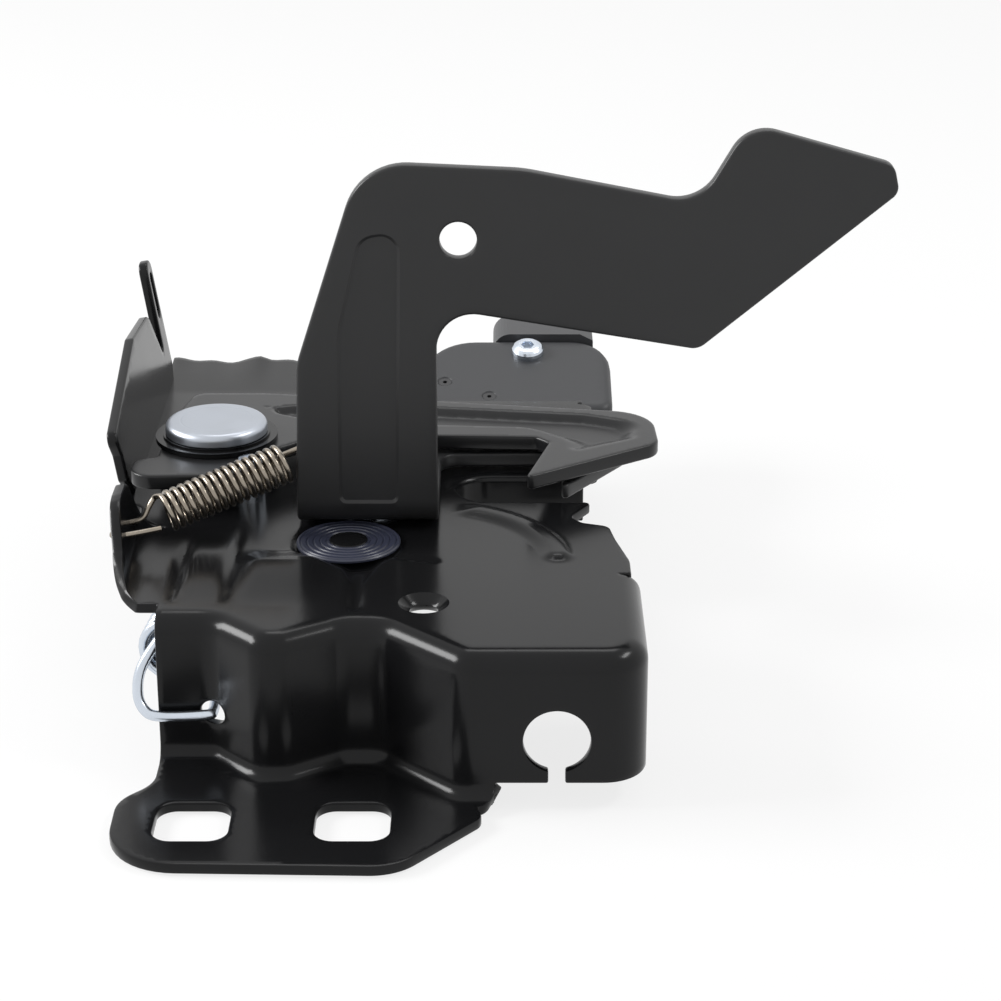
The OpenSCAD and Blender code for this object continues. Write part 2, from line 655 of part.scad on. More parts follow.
module switch_housing() color(plastic)
    difference() {
        intersection() {
            translate([switch_x, switch_y, shelf_top])
                linear_extrude(30)
                    polygon(rounded([
                        [0, 0, 3], [switch_w, 0, 3], [switch_w, switch_d, 9], [4, switch_d, 12], [0, 15, 9]
                    ]));
            translate([switch_x - 1, switch_y, shelf_top])
                upright(switch_w + 2)
                    polygon([[0, 0], [switch_d, 0], [switch_d, face_z(switch_d)], [0, face_z(0)]]);
        }
        for (p = pin_spots) on_face(p) translate([0, 0, -2]) cylinder(d = 3, h = 4);
        on_face(screw_spot) translate([0, 0, -6]) cylinder(d = 3, h = 8);
    }

module switch_pin(spot) {
    on_face(spot)
        difference() {
            translate([0, 0, -2]) cylinder(d = 3, h = 1.8);
            translate([0, 0, -1]) cylinder(d = 1, h = 2);
        }
}

module left_switch_pin() color(black) switch_pin(pin_spots[0]);

module right_switch_pin() color(black) switch_pin(pin_spots[1]);

module switch_screw() color(zinc)
    on_face(screw_spot)
        difference() {
            union() {
                rotate_extrude()
                    polygon(concat([[0, 0], [screw_d / 2, 0]],
                        arc([screw_d / 2 - 1.6, 0.6], 1.6, 0, 90), [[0, 2.2]]));
                translate([0, 0, -5.9]) cylinder(d = 3, h = 6);
            }
            translate([0, 0, 1]) cylinder(d = 3, h = 3, $fn = 6);
        }

connector_at = [38.3, switch_y + switch_d, shelf_top + 1];
connector_size = [23, 14, 15];
blade = [5, 12, 0.8];

module switch_connector() color(plastic)
    translate(connector_at)
        difference() {
            rotate([90, 0, 0])
                translate([0, 0, -connector_size.y])
                    linear_extrude(connector_size.y)
                        polygon(rounded([
                            [0, 0, 1.5], [connector_size.x, 0, 1.5],
                            [connector_size.x, connector_size.z - 1.5, 0.5],
                            [connector_size.x - 3, connector_size.z, 0.5], [0, connector_size.z, 4]
                        ]));
            translate([2, 4, 2]) cube([connector_size.x - 4, connector_size.y, connector_size.z - 4]);
            for (x = [5.5, 12]) translate([x, 1, 7]) cube([blade.x, 4, blade.z]);
        }

module terminal(x) {
    translate(connector_at + [x, 1, 7]) cube(blade);
}

module left_terminal() color("#b08d57") terminal(5.5);

module right_terminal() color("#b08d57") terminal(12);

base_plate();
catch_hook();
catch_stud();
catch_rivet();
catch_washer();
catch_bush();
catch_spring();
safety_lever();
lever_rivet();
lever_washer();
safety_spring();
release_lever();
release_rivet();
release_washer();
release_spacer();
switch_housing();
switch_connector();
switch_screw();
left_switch_pin();
right_switch_pin();
left_terminal();
right_terminal();
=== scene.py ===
import math
import bmesh
import bpy
import numpy as np
from mathutils import Matrix, Vector
from mathutils.geometry import delaunay_2d_cdt
from mathutils.kdtree import KDTree


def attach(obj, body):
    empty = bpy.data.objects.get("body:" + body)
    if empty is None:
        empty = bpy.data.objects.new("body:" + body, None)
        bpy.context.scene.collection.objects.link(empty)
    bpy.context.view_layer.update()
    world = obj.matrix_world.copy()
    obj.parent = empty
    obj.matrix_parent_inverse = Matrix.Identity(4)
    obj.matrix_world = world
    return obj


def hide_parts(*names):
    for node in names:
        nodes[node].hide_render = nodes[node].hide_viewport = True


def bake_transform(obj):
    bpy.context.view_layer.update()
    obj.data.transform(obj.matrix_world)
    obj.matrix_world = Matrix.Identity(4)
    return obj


mm = 0.001
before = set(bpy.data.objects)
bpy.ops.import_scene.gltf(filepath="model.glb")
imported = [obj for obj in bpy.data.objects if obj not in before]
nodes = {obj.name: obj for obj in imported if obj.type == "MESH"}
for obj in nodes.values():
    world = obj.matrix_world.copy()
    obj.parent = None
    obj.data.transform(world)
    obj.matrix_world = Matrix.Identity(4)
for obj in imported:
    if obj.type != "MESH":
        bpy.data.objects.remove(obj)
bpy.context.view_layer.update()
print("frame loaded,", len(nodes), "nodes")

studio = {
    "eye": (40.0, -401.4, 224.8),      # mm, worked out from the photo's round holes
    "aim": (40.0, 80.7, 30.0),
    "lens": 93.5,
    "floorTone": 0.86,
    "worldFill": 0.55,
    # place mm, width and height mm, watts
    "keyLamp": ((-760, 130, 520), (520, 300), 8.0),      # left, shows on the bends that face it
    "sideLamp": ((560, 60, 640), (320, 120), 1.6),
    "rearLamp": ((60, 460, 780), (420, 200), 0.8),
}


def link(obj):
    bpy.context.scene.collection.objects.link(obj)
    return obj


def lookAt(obj, target):
    obj.rotation_euler = (Vector(target) - obj.location).to_track_quat("-Z", "Y").to_euler()


def makeCamera():
    cam = link(bpy.data.objects.new("camera", bpy.data.cameras.new("camera")))
    cam.data.lens = studio["lens"]
    cam.data.sensor_width = 36
    cam.data.clip_start = 0.01
    cam.location = Vector(studio["eye"]) * mm
    lookAt(cam, Vector(studio["aim"]) * mm)
    bpy.context.scene.camera = cam


def makeLamp(name):
    place, size, watts = studio[name]
    lamp = bpy.data.lights.new(name, "AREA")
    lamp.shape = "RECTANGLE"
    lamp.size, lamp.size_y = size[0] * mm, size[1] * mm
    lamp.energy = watts
    obj = link(bpy.data.objects.new(name, lamp))
    obj.location = Vector(place) * mm
    lookAt(obj, Vector(studio["aim"]) * mm)


def seenRays(tree):
    # 1 for camera, glossy and transmission rays, else 0
    path = tree.nodes.new("ShaderNodeLightPath")
    both = tree.nodes.new("ShaderNodeMath")
    both.operation = "MAXIMUM"
    allThree = tree.nodes.new("ShaderNodeMath")
    allThree.operation = "MAXIMUM"
    tree.links.new(path.outputs["Is Camera Ray"], both.inputs[0])
    tree.links.new(path.outputs["Is Glossy Ray"], both.inputs[1])
    tree.links.new(both.outputs[0], allThree.inputs[0])
    tree.links.new(path.outputs["Is Transmission Ray"], allThree.inputs[1])
    return allThree.outputs[0]


def makeWorld():
    world = bpy.data.worlds.new("studio")
    bpy.context.scene.world = world
    world.use_nodes = True
    tree = world.node_tree
    back = tree.nodes["Background"]
    back.inputs["Color"].default_value = (1, 1, 1, 1)
    level = tree.nodes.new("ShaderNodeMapRange")
    level.inputs["To Min"].default_value = studio["worldFill"]
    level.inputs["To Max"].default_value = 1.0
    tree.links.new(seenRays(tree), level.inputs["Value"])
    tree.links.new(level.outputs["Result"], back.inputs["Strength"])


def makeFloor():
    mesh = bpy.data.meshes.new("floor")
    r = 3.0
    mesh.from_pydata([(-r, -r, 0), (r, -r, 0), (r, r, 0), (-r, r, 0)], [], [(0, 1, 2, 3)])
    mesh.transform(Matrix.Translation((0, 0, -0.4 * mm)))
    floor = link(bpy.data.objects.new("floor", mesh))
    mat = bpy.data.materials.new("paleFloor")
    mat.use_nodes = True
    tree = mat.node_tree
    bsdf = tree.nodes["Principled BSDF"]
    tone = studio["floorTone"]
    bsdf.inputs["Base Color"].default_value = (tone, tone, tone, 1)
    bsdf.inputs["Roughness"].default_value = 0.9
    bsdf.inputs["Specular IOR Level"].default_value = 0.0
    glow = tree.nodes.new("ShaderNodeEmission")
    glow.inputs["Strength"].default_value = 1.0
    mix = tree.nodes.new("ShaderNodeMixShader")
    share = tree.nodes.new("ShaderNodeMath")
    share.operation = "MULTIPLY"
    share.inputs[1].default_value = 0.8
    tree.links.new(seenRays(tree), share.inputs[0])
    tree.links.new(share.outputs[0], mix.inputs[0])
    tree.links.new(bsdf.outputs[0], mix.inputs[1])
    tree.links.new(glow.outputs[0], mix.inputs[2])
    tree.links.new(mix.outputs[0], tree.nodes["Material Output"].inputs["Surface"])
    mesh.materials.append(mat)


makeCamera()
makeWorld()
makeFloor()
for lampName in ("keyLamp", "sideLamp", "rearLamp"):
    makeLamp(lampName)
bpy.context.scene.view_settings.view_transform = "Standard"
print("stage ready")


def makeGrainGroup():
    # fine and broad unevenness of a coated or plated surface
    group = bpy.data.node_groups.new("surfaceGrain", "ShaderNodeTree")
    face = group.interface
    face.new_socket("Vector", in_out="INPUT", socket_type="NodeSocketVector")
    for label, value in (("Fine scale", 900.0), ("Broad scale", 60.0), ("Tone spread", 0.2), ("Rough", 0.3),
                         ("Rough spread", 0.05)):
        face.new_socket(label, in_out="INPUT", socket_type="NodeSocketFloat").default_value = value
    for label in ("Tone", "Roughness", "Height"):
        face.new_socket(label, in_out="OUTPUT", socket_type="NodeSocketFloat")
    inp = group.nodes.new("NodeGroupInput")
    out = group.nodes.new("NodeGroupOutput")
    fine = group.nodes.new("ShaderNodeTexNoise")
    broad = group.nodes.new("ShaderNodeTexNoise")
    fine.inputs["Detail"].default_value = 2
    broad.inputs["Detail"].default_value = 4
    for tex, label in ((fine, "Fine scale"), (broad, "Broad scale")):
        group.links.new(inp.outputs["Vector"], tex.inputs["Vector"])
        group.links.new(inp.outputs[label], tex.inputs["Scale"])

    def math2(op, a, b):
        node = group.nodes.new("ShaderNodeMath")
        node.operation = op
        for i, v in enumerate((a, b)):
            if isinstance(v, (int, float)):
                node.inputs[i].default_value = v
            else:
                group.links.new(v, node.inputs[i])
        return node.outputs[0]

    swing = math2("SUBTRACT", broad.outputs[0], 0.5)
    tone = math2("ADD", math2("MULTIPLY", swing, inp.outputs["Tone spread"]), 1.0)
    rough = math2("ADD", math2("MULTIPLY", swing, inp.outputs["Rough spread"]), inp.outputs["Rough"])
    group.links.new(tone, out.inputs["Tone"])
    group.links.new(rough, out.inputs["Roughness"])
    group.links.new(fine.outputs[0], out.inputs["Height"])
    return group


grainGroup = makeGrainGroup()

finishes = {
    # colour, metallic, roughness, its spread, specular level, fine scale, broad scale, tone spread, bump mm
    "blackCoat": ((0.0065, 0.0066, 0.0072), 0, 0.20, 0.07, 0.22, 700, 45, 0.5, 0.012),
    "satinCoat": ((0.024, 0.0242, 0.025), 0, 0.36, 0.08, 0.32, 1100, 60, 0.25, 0.012),
    "catchCoat": ((0.012, 0.0122, 0.013), 0, 0.30, 0.08, 0.32, 1100, 60, 0.3, 0.014),
    "zincPlate": ((0.62, 0.67, 0.74), 1, 0.24, 0.12, 0.5, 1500, 220, 0.16, 0.006),
    "rivetFace": ((0.46, 0.49, 0.54), 1, 0.38, 0.10, 0.5, 2200, 160, 0.14, 0.010),
    "bronzeWire": ((0.30, 0.265, 0.22), 1, 0.26, 0.12, 0.5, 1800, 300, 0.35, 0.006),
    "bluedSteel": ((0.034, 0.038, 0.062), 0, 0.34, 0.10, 0.50, 1500, 200, 0.5, 0.010),
    "switchPlastic": ((0.034, 0.035, 0.038), 0, 0.44, 0.06, 0.42, 2600, 80, 0.12, 0.020),
    "pinPlastic": ((0.03, 0.03, 0.032), 0, 0.40, 0.06, 0.4, 2600, 80, 0.12, 0.010),
    "brassBlade": ((0.66, 0.50, 0.25), 1, 0.28, 0.10, 0.5, 1800, 260, 0.2, 0.006),
}


def makeFinish(name):
    color, metal, rough, roughSpread, spec, fineScale, broadScale, toneSpread, bumpMm = finishes[name]
    mat = bpy.data.materials.new(name)
    mat.use_nodes = True
    tree = mat.node_tree
    bsdf = tree.nodes["Principled BSDF"]
    bsdf.inputs["Metallic"].default_value = metal
    bsdf.inputs["Specular IOR Level"].default_value = spec
    coord = tree.nodes.new("ShaderNodeTexCoord")
    grain = tree.nodes.new("ShaderNodeGroup")
    grain.node_tree = grainGroup
    for label, value in (("Fine scale", fineScale), ("Broad scale", broadScale), ("Tone spread", toneSpread),
                         ("Rough", rough), ("Rough spread", roughSpread)):
        grain.inputs[label].default_value = value
    tree.links.new(coord.outputs["Object"], grain.inputs["Vector"])
    tint = tree.nodes.new("ShaderNodeVectorMath")
    tint.operation = "SCALE"
    tint.inputs[0].default_value = color
    tree.links.new(grain.outputs["Tone"], tint.inputs["Scale"])
    tree.links.new(tint.outputs[0], bsdf.inputs["Base Color"])
    tree.links.new(grain.outputs["Roughness"], bsdf.inputs["Roughness"])
    bump = tree.nodes.new("ShaderNodeBump")
    bump.inputs["Distance"].default_value = bumpMm * mm
    bump.inputs["Strength"].default_value = 0.5
    tree.links.new(grain.outputs["Height"], bump.inputs["Height"])
    tree.links.new(bump.outputs[0], bsdf.inputs["Normal"])
    return mat


finish = {name: makeFinish(name) for name in finishes}
print("finishes ready:", len(finish))


def rounded(corners, steps=8):
    # outline with rounded corners from (x, y, radius)
    out = []
    n = len(corners)
    for i, (x, y, r) in enumerate(corners):
        p = Vector((x, y))
        if r == 0:
            out.append((x, y))
            continue
        u = (Vector(corners[i - 1][:2]) - p).normalized()
        v = (Vector(corners[(i + 1) % n][:2]) - p).normalized()
        half = u.angle(v) / 2
        c = p + (u + v).normalized() * r / math.sin(half)
        s, e = p + u * r / math.tan(half) - c, p + v * r / math.tan(half) - c
        a0 = math.atan2(s.y, s.x)
        turn = (math.atan2(e.y, e.x) - a0 + math.pi) % (2 * math.pi) - math.pi
        out += [(c.x + r * math.cos(a0 + turn * k / steps), c.y + r * math.sin(a0 + turn * k / steps))
                for k in range(steps + 1)]
    return out


def ring(cx, cy, r, n=40):
    return [(cx + r * math.cos(2 * math.pi * k / n), cy + r * math.sin(2 * math.pi * k / n)) for k in range(n)]


def dense(loop, step, closed=True):
    # the same loop with no edge longer than step
    out = []
    count = len(loop)
    for i in range(count if closed else count - 1):
        a, b = Vector(loop[i]), Vector(loop[(i + 1) % count])
        n = max(1, math.ceil((b - a).length / step))
        out += [tuple(a.lerp(b, k / n)) for k in range(n)]
    if not closed:
        out.append(tuple(loop[-1]))
    return out


def tidyLoop(loop, least=0.02):
    # the loop without points that lie on each other
    out = []
    for p in loop:
        if not out or (Vector(p) - Vector(out[-1])).length > least:
            out.append(p)
    if (Vector(out[0]) - Vector(out[-1])).length <= least:
        out.pop()
    return out


def area(loop):
    return sum(a[0] * b[1] - b[0] * a[1] for a, b in zip(loop, loop[1:] + loop[:1])) / 2


def inset(loop, d):
    # the loop moved to its left by d (inwards on a counter-clockwise loop)
    out = []
    n = len(loop)
    for i in range(n):
        p = Vector(loop[i])
        u = (p - Vector(loop[i - 1])).normalized()
        v = (Vector(loop[(i + 1) % n]) - p).normalized()
        m = (u + v).normalized()
        side = Vector((-m.y, m.x))
        out.append(tuple(p + side * d / max(0.5, side.dot(Vector((-u.y, u.x))))))
    return out


def insideMask(pts, loops):
    # even-odd rule over all loops
    inside = np.zeros(len(pts), bool)
    for loop in loops:
        p = np.array(loop)
        q = np.roll(p, -1, axis=0)
        for (x0, y0), (x1, y1) in zip(p, q):
            if y0 == y1:
                continue
            hit = (y0 > pts[:, 1]) != (y1 > pts[:, 1])
            inside ^= hit & (pts[:, 0] < (x1 - x0) * (pts[:, 1] - y0) / (y1 - y0) + x0)
    return inside


def edgeDistance(pts, loops):
    best = np.full(len(pts), 1e9)
    for loop in loops:
        p = np.array(loop, float)
        q = np.roll(p, -1, axis=0)
        for a, b in zip(p, q):
            d = b - a
            t = np.clip(((pts - a) @ d) / max(d @ d, 1e-12), 0, 1)
            best = np.minimum(best, np.hypot(*(pts - a - t[:, None] * d).T))
    return best


def fillPlan(outline, holes, spacing, creases=()):
    # triangles of an outline with holes; creases are loops that the triangles keep as edges
    loops = [outline] + list(holes)
    low, high = np.min(outline, axis=0), np.max(outline, axis=0)
    rows = []
    y = low[1]
    k = 0
    while y < high[1]:
        xs = np.arange(low[0] + (k % 2) * spacing / 2, high[0], spacing)
        rows.append(np.column_stack([xs, np.full(len(xs), y)]))
        y += spacing * 0.866
        k += 1
    grid = np.vstack(rows)
    grid = grid[insideMask(grid, loops)]
    grid = grid[edgeDistance(grid, loops + list(creases)) > spacing * 0.55]
    pts, edges = [], []
    for loop in loops + list(creases):
        start, n = len(pts), len(loop)
        pts += [Vector(p) for p in loop]
        edges += [(start + i, start + (i + 1) % n) for i in range(n)]
    pts += [Vector(p) for p in grid]
    verts, _, faces, _, _, _ = delaunay_2d_cdt(pts, edges, [], 0, 1e-7)
    verts = np.array([tuple(v) for v in verts])
    mid = np.array([verts[list(f)].mean(axis=0) for f in faces])
    keep = insideMask(mid, loops)
    return verts, [f for f, k in zip(faces, keep) if k]


def soft(x, a, b):
    # smooth step from 0 at a to 1 at b
    t = np.clip((np.asarray(x, float) - a) / (b - a), 0, 1)
    return t * t * (3 - 2 * t)


def meshObject(name, verts, faces, material, weld=0.004, angle=35):
    # verts in mm
    mesh = bpy.data.meshes.new(name)
    mesh.from_pydata([tuple(c * mm for c in v) for v in verts], [], [tuple(f) for f in faces])
    bm = bmesh.new()
    bm.from_mesh(mesh)
    bmesh.ops.remove_doubles(bm, verts=bm.verts, dist=weld * mm)
    bmesh.ops.recalc_face_normals(bm, faces=bm.faces)
    bm.to_mesh(mesh)
    bm.free()
    mesh.materials.append(material)
    obj = link(bpy.data.objects.new(name, mesh))
    shadeByAngle(mesh, angle)
    return obj


def shadeByAngle(mesh, angle=35):
    mesh.polygons.foreach_set("use_smooth", [True] * len(mesh.polygons))
    mesh.set_sharp_from_angle(angle=math.radians(angle))


def applyModifiers(obj):
    # evaluated result as the object's own plain mesh
    graph = bpy.context.evaluated_depsgraph_get()
    graph.update()
    fresh = bpy.data.meshes.new_from_object(obj.evaluated_get(graph))
    old = obj.data
    obj.modifiers.clear()
    obj.data = fresh
    bpy.data.meshes.remove(old)
    shadeByAngle(fresh)
    return obj


def joinPieces(name, pieces):
    # several objects into the first one
    main = pieces[0]
    bm = bmesh.new()
    for piece in pieces:
        bm.from_mesh(piece.data)
    bm.to_mesh(main.data)
    bm.free()
    for piece in pieces[1:]:
        bpy.data.objects.remove(piece)
    main.name = name
    shadeByAngle(main.data)
    return main


def roundPlate(outline, holes, spacing, thick, edge, topHeight=None, bottomHeight=None, creases=()):
    # flat plate from w = 0 (bottom) to thick, with rounded edges and a shaped top; returns (u, v, w) and faces
    loops = [outline if area(outline) > 0 else outline[::-1]]
    loops += [h if area(h) < 0 else h[::-1] for h in holes]    # holes run clockwise, so their left is the metal
    edges = edge if isinstance(edge, list) else [edge] * len(loops)
    verts, faces = [], []
    inner = [inset(l, e) for l, e in zip(loops, edges)]
    flat, tris = fillPlan(inner[0], inner[1:], spacing, creases)
    topW = thick + (topHeight(flat) if topHeight else np.zeros(len(flat)))
    lowW = bottomHeight(flat) if bottomHeight else np.zeros(len(flat))
    n = len(flat)
    verts += [(x, y, w) for (x, y), w in zip(flat, topW)]
    faces += [tuple(f) for f in tris]
    verts += [(x, y, w) for (x, y), w in zip(flat, lowW)]
    faces += [tuple(n + i for i in reversed(f)) for f in tris]
    for loop, e in zip(loops, edges):
        rows = []
        quarter = [(e * (1 - math.cos(a)), e * (1 - math.sin(a))) for a in np.radians([90, 60, 30, 0])]
        for d, drop in quarter:
            rows.append([(x, y, thick - drop) for x, y in inset(loop, d)])
        for d, drop in reversed(quarter):
            rows.append([(x, y, drop) for x, y in inset(loop, d)])
        base, m = len(verts), len(loop)
        for row in rows:
            verts += row
        for r in range(len(rows) - 1):
            for i in range(m):
                j = (i + 1) % m
                faces.append((base + r * m + i, base + (r + 1) * m + i, base + (r + 1) * m + j, base + r * m + j))
    return verts, faces


def latheMesh(profile, center, steps=64):
    # profile of (radius, z) from the axis outwards and back
    verts, faces = [], []
    n = len(profile)
    for k in range(steps):
        a = 2 * math.pi * k / steps
        verts += [(center[0] + r * math.cos(a), center[1] + r * math.sin(a), z) for r, z in profile]
    for k in range(steps):
        j = (k + 1) % steps
        for i in range(n - 1):
            faces.append((k * n + i, j * n + i, j * n + i + 1, k * n + i + 1))
    return verts, faces


def dress(piece, body, slot, *replaced):
    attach(piece, body)
    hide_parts(*replaced)


basePlate = {
    "sheet": 2.0, "top": 30.0, "bendOut": 4.0, "flangeBend": 3.0, "freeEdge": 5.0, "edgeRound": 0.35,
    "start": (-22.5, 24.5), "waveR": 6.0, "cornerR": 8.0, "sideWall": 28.0, "runOut": 3.1,
    "slotPitch": 28.2, "slot": (13.2, 13.6, 3.5),    # fixing slots: width, depth, corner radius
    "keyhole": (50.0, 13.2, 6.0, 3.0),               # x, z, radius, neck
    "springHole": (-12.5, 11.2, 2.2),                # x, z, radius
    "sinkHole": (26.0, 31.0, 2.5, 4.7, 1.7),         # x, y, radius, radius at the top, depth
    "strikerSlot": (38.0, 87.0, 7.0), "lipR": 1.5,   # middle and radius of its round end
    "bead": (24.0, 50.0, 27.0, 6.0),                 # middle, radius, angle of its front end
    "ringSeat": (10.8, 59.0), "shelfY": 138.0, "shelfZ": 20.0, "rimY": 145.0, "rimDepth": 20.0,
    "earX": -35.4, "sideX": -31.2, "foldX": -25.5,   # foldX is where the spring ear's bend starts
    "earBend": (5.0, 78.0), "earLean": 9.0,          # spring ear's radius and turn, long ear's lean
}


def wallStops():
    # plan of the front wall as (x, y, heading), with the index where the flange ends
    def sLine(shift, angle):    # line between the arcs of an S
        a = math.radians(angle)
        return (shift - 2 * r * (1 - math.cos(a))) / math.sin(a)

    b = basePlate
    r = b["waveR"]
    flanged = [7.6, (r, -45.0), sLine(8.9, 45), (r, 45.0), 0.4, (r, 33.0), sLine(6.9, 33), (r, -33.0), 2.2,
               (r, -44.0), sLine(14.3, 44), (r, 44.0), 3.64]
    plain = [19.2, (b["cornerR"], 90.0), b["sideWall"]]
    stops = [(*b["start"], 0.0)]
    flangeEnd = 0
    lastFlanged = len(flanged) - 1
    for i, seg in enumerate(flanged + plain):
        x, y, h = stops[-1]
        if isinstance(seg, tuple):
            bendR, turn = seg
            n = 14
            for k in range(1, n + 1):
                a = h + math.radians(turn) * k / n
                s = math.copysign(1, turn) * bendR
                stops.append((x + s * (math.sin(a) - math.sin(h)), y + s * (math.cos(h) - math.cos(a)), a))
        else:
            n = max(1, round(seg / (0.45 if i == lastFlanged else 1.3)))    # finer where the bend runs out
            stops += [(x + seg * k / n * math.cos(h), y + seg * k / n * math.sin(h), h) for k in range(1, n + 1)]
        if i == lastFlanged:
            flangeEnd = len(stops) - 1
    return stops, flangeEnd


def wallSection():
    # (offset to the rear, height) down the outer face, and the number of rows above the flange's bend
    b = basePlate
    ro, rf = b["bendOut"], b["flangeBend"]
    rows = [(ro - ro * math.sin(a), b["top"] - ro + ro * math.cos(a)) for a in np.radians(np.linspace(0, 90, 11))]
    rows += [(0.0, z) for z in np.linspace(b["top"] - ro, b["freeEdge"], 16)[1:]]
    keep = len(rows)
    rows += [(-rf + rf * math.cos(a), b["freeEdge"] - rf * math.sin(a))
             for a in np.radians(np.linspace(0, 90, 9))[1:]]
    return rows, keep


def plateHeight(p):
    # pressed forms of the plate's top: arc bead, groove with soft shoulders, ring seat, folds on the left
    x, y = p[:, 0], p[:, 1]
    cx, cy, arcR, endAngle = basePlate["bead"]
    a = np.degrees(np.arctan2(y - cy, x - cx))
    endX, endY = cx + arcR * math.cos(math.radians(endAngle)), cy + arcR * math.sin(math.radians(endAngle))
    away = np.where(a > endAngle, np.abs(np.hypot(x - cx, y - cy) - arcR), np.hypot(x - endX, y - endY))
    h = (1 - soft(a, 64, 76)) * (1 - soft(away, 1.0, 3.4))
    # groove between the two pads, wider towards the ring seat
    width = 1.0 + 2.6 * soft(y, 40, 51)
    h -= 1.1 * (1 - soft(np.abs(x - 13.4), width * 0.35, width + 1.2)) * (1 - soft(y, 49, 54)) * soft(y, 26, 31)
    seatX, seatY = basePlate["ringSeat"]
    h -= 0.35 * (1 - soft(np.hypot(x - seatX, y - seatY), 10.4, 11.8))
    # short crease beside the seat
    h -= 0.5 * (1 - soft(np.abs(y - 52.5 + 0.35 * (x - 21)), 0.4, 1.3)) * soft(x, 19, 21) * (1 - soft(x, 26, 29))
    # left pad that rises to the rear, then the folds of the left floor
    h += 2.0 * soft(x, -11, -5) * (1 - soft(x, 3, 10)) * soft(y, 29, 47) * (1 - soft(y, 46, 56))
    h += 0.8 * soft(x, -20.6, -17.5) * (1 - soft(x, -14, -10)) * soft(y, 30, 44) * (1 - soft(y, 52, 66))
    h -= 0.5 * (1 - soft(np.abs(x + 10.6), 0.2, 1.2)) * soft(y, 30, 36) * (1 - soft(y, 60, 70))
    h -= 0.5 * (1 - soft(np.abs(x + 20.2), 0.2, 1.2)) * soft(y, 30, 36) * (1 - soft(y, 52, 62))
    return h


def plateEdge(stops):
    # the runs of the plate's edge, in order from the front wall round to the rear
    b = basePlate
    line = [(x - b["bendOut"] * math.sin(h), y + b["bendOut"] * math.cos(h)) for x, y, h in stops]
    sideY = line[-1][1] + 0.2
    sx, sy, sr = b["strikerSlot"]
    front, back = sy - sr, sy + sr
    right = rounded([(62.2, sideY, 0), (64.5, sideY, 0), (64.5, 50.5, 8), (62.2, 61, 8), (61.2, 67.6, 2.5),
                     (56, 69.4, 2), (53.9, 72.2, 1.5), (58.5, front, 1), (50, front, 0)])
    mouth = [(sx - sr * math.sin(a), sy - sr * math.cos(a)) for a in np.radians(np.linspace(0, 90, 11))]
    # edge of the slot with a lip: place and the way out of the slot
    lip = [(sx - sr * math.sin(a), sy - sr * math.cos(a), -math.sin(a), -math.cos(a))
           for a in np.radians(np.linspace(90, 180, 13))]
    lip += [(sx + 19 * k / 20, back, 0.0, 1.0) for k in range(1, 21)]
    rear = rounded([(57, back, 0), (60, back, 2.5), (60, b["shelfY"], 3), (58, b["shelfY"], 0)])
    shelfLine = [(58 - 32 * k / 24, b["shelfY"]) for k in range(25)]
    rimLine = [(20 - 55.2 * k / 44, b["rimY"]) for k in range(45)]
    return line, right, mouth, lip, rear, shelfLine, rimLine


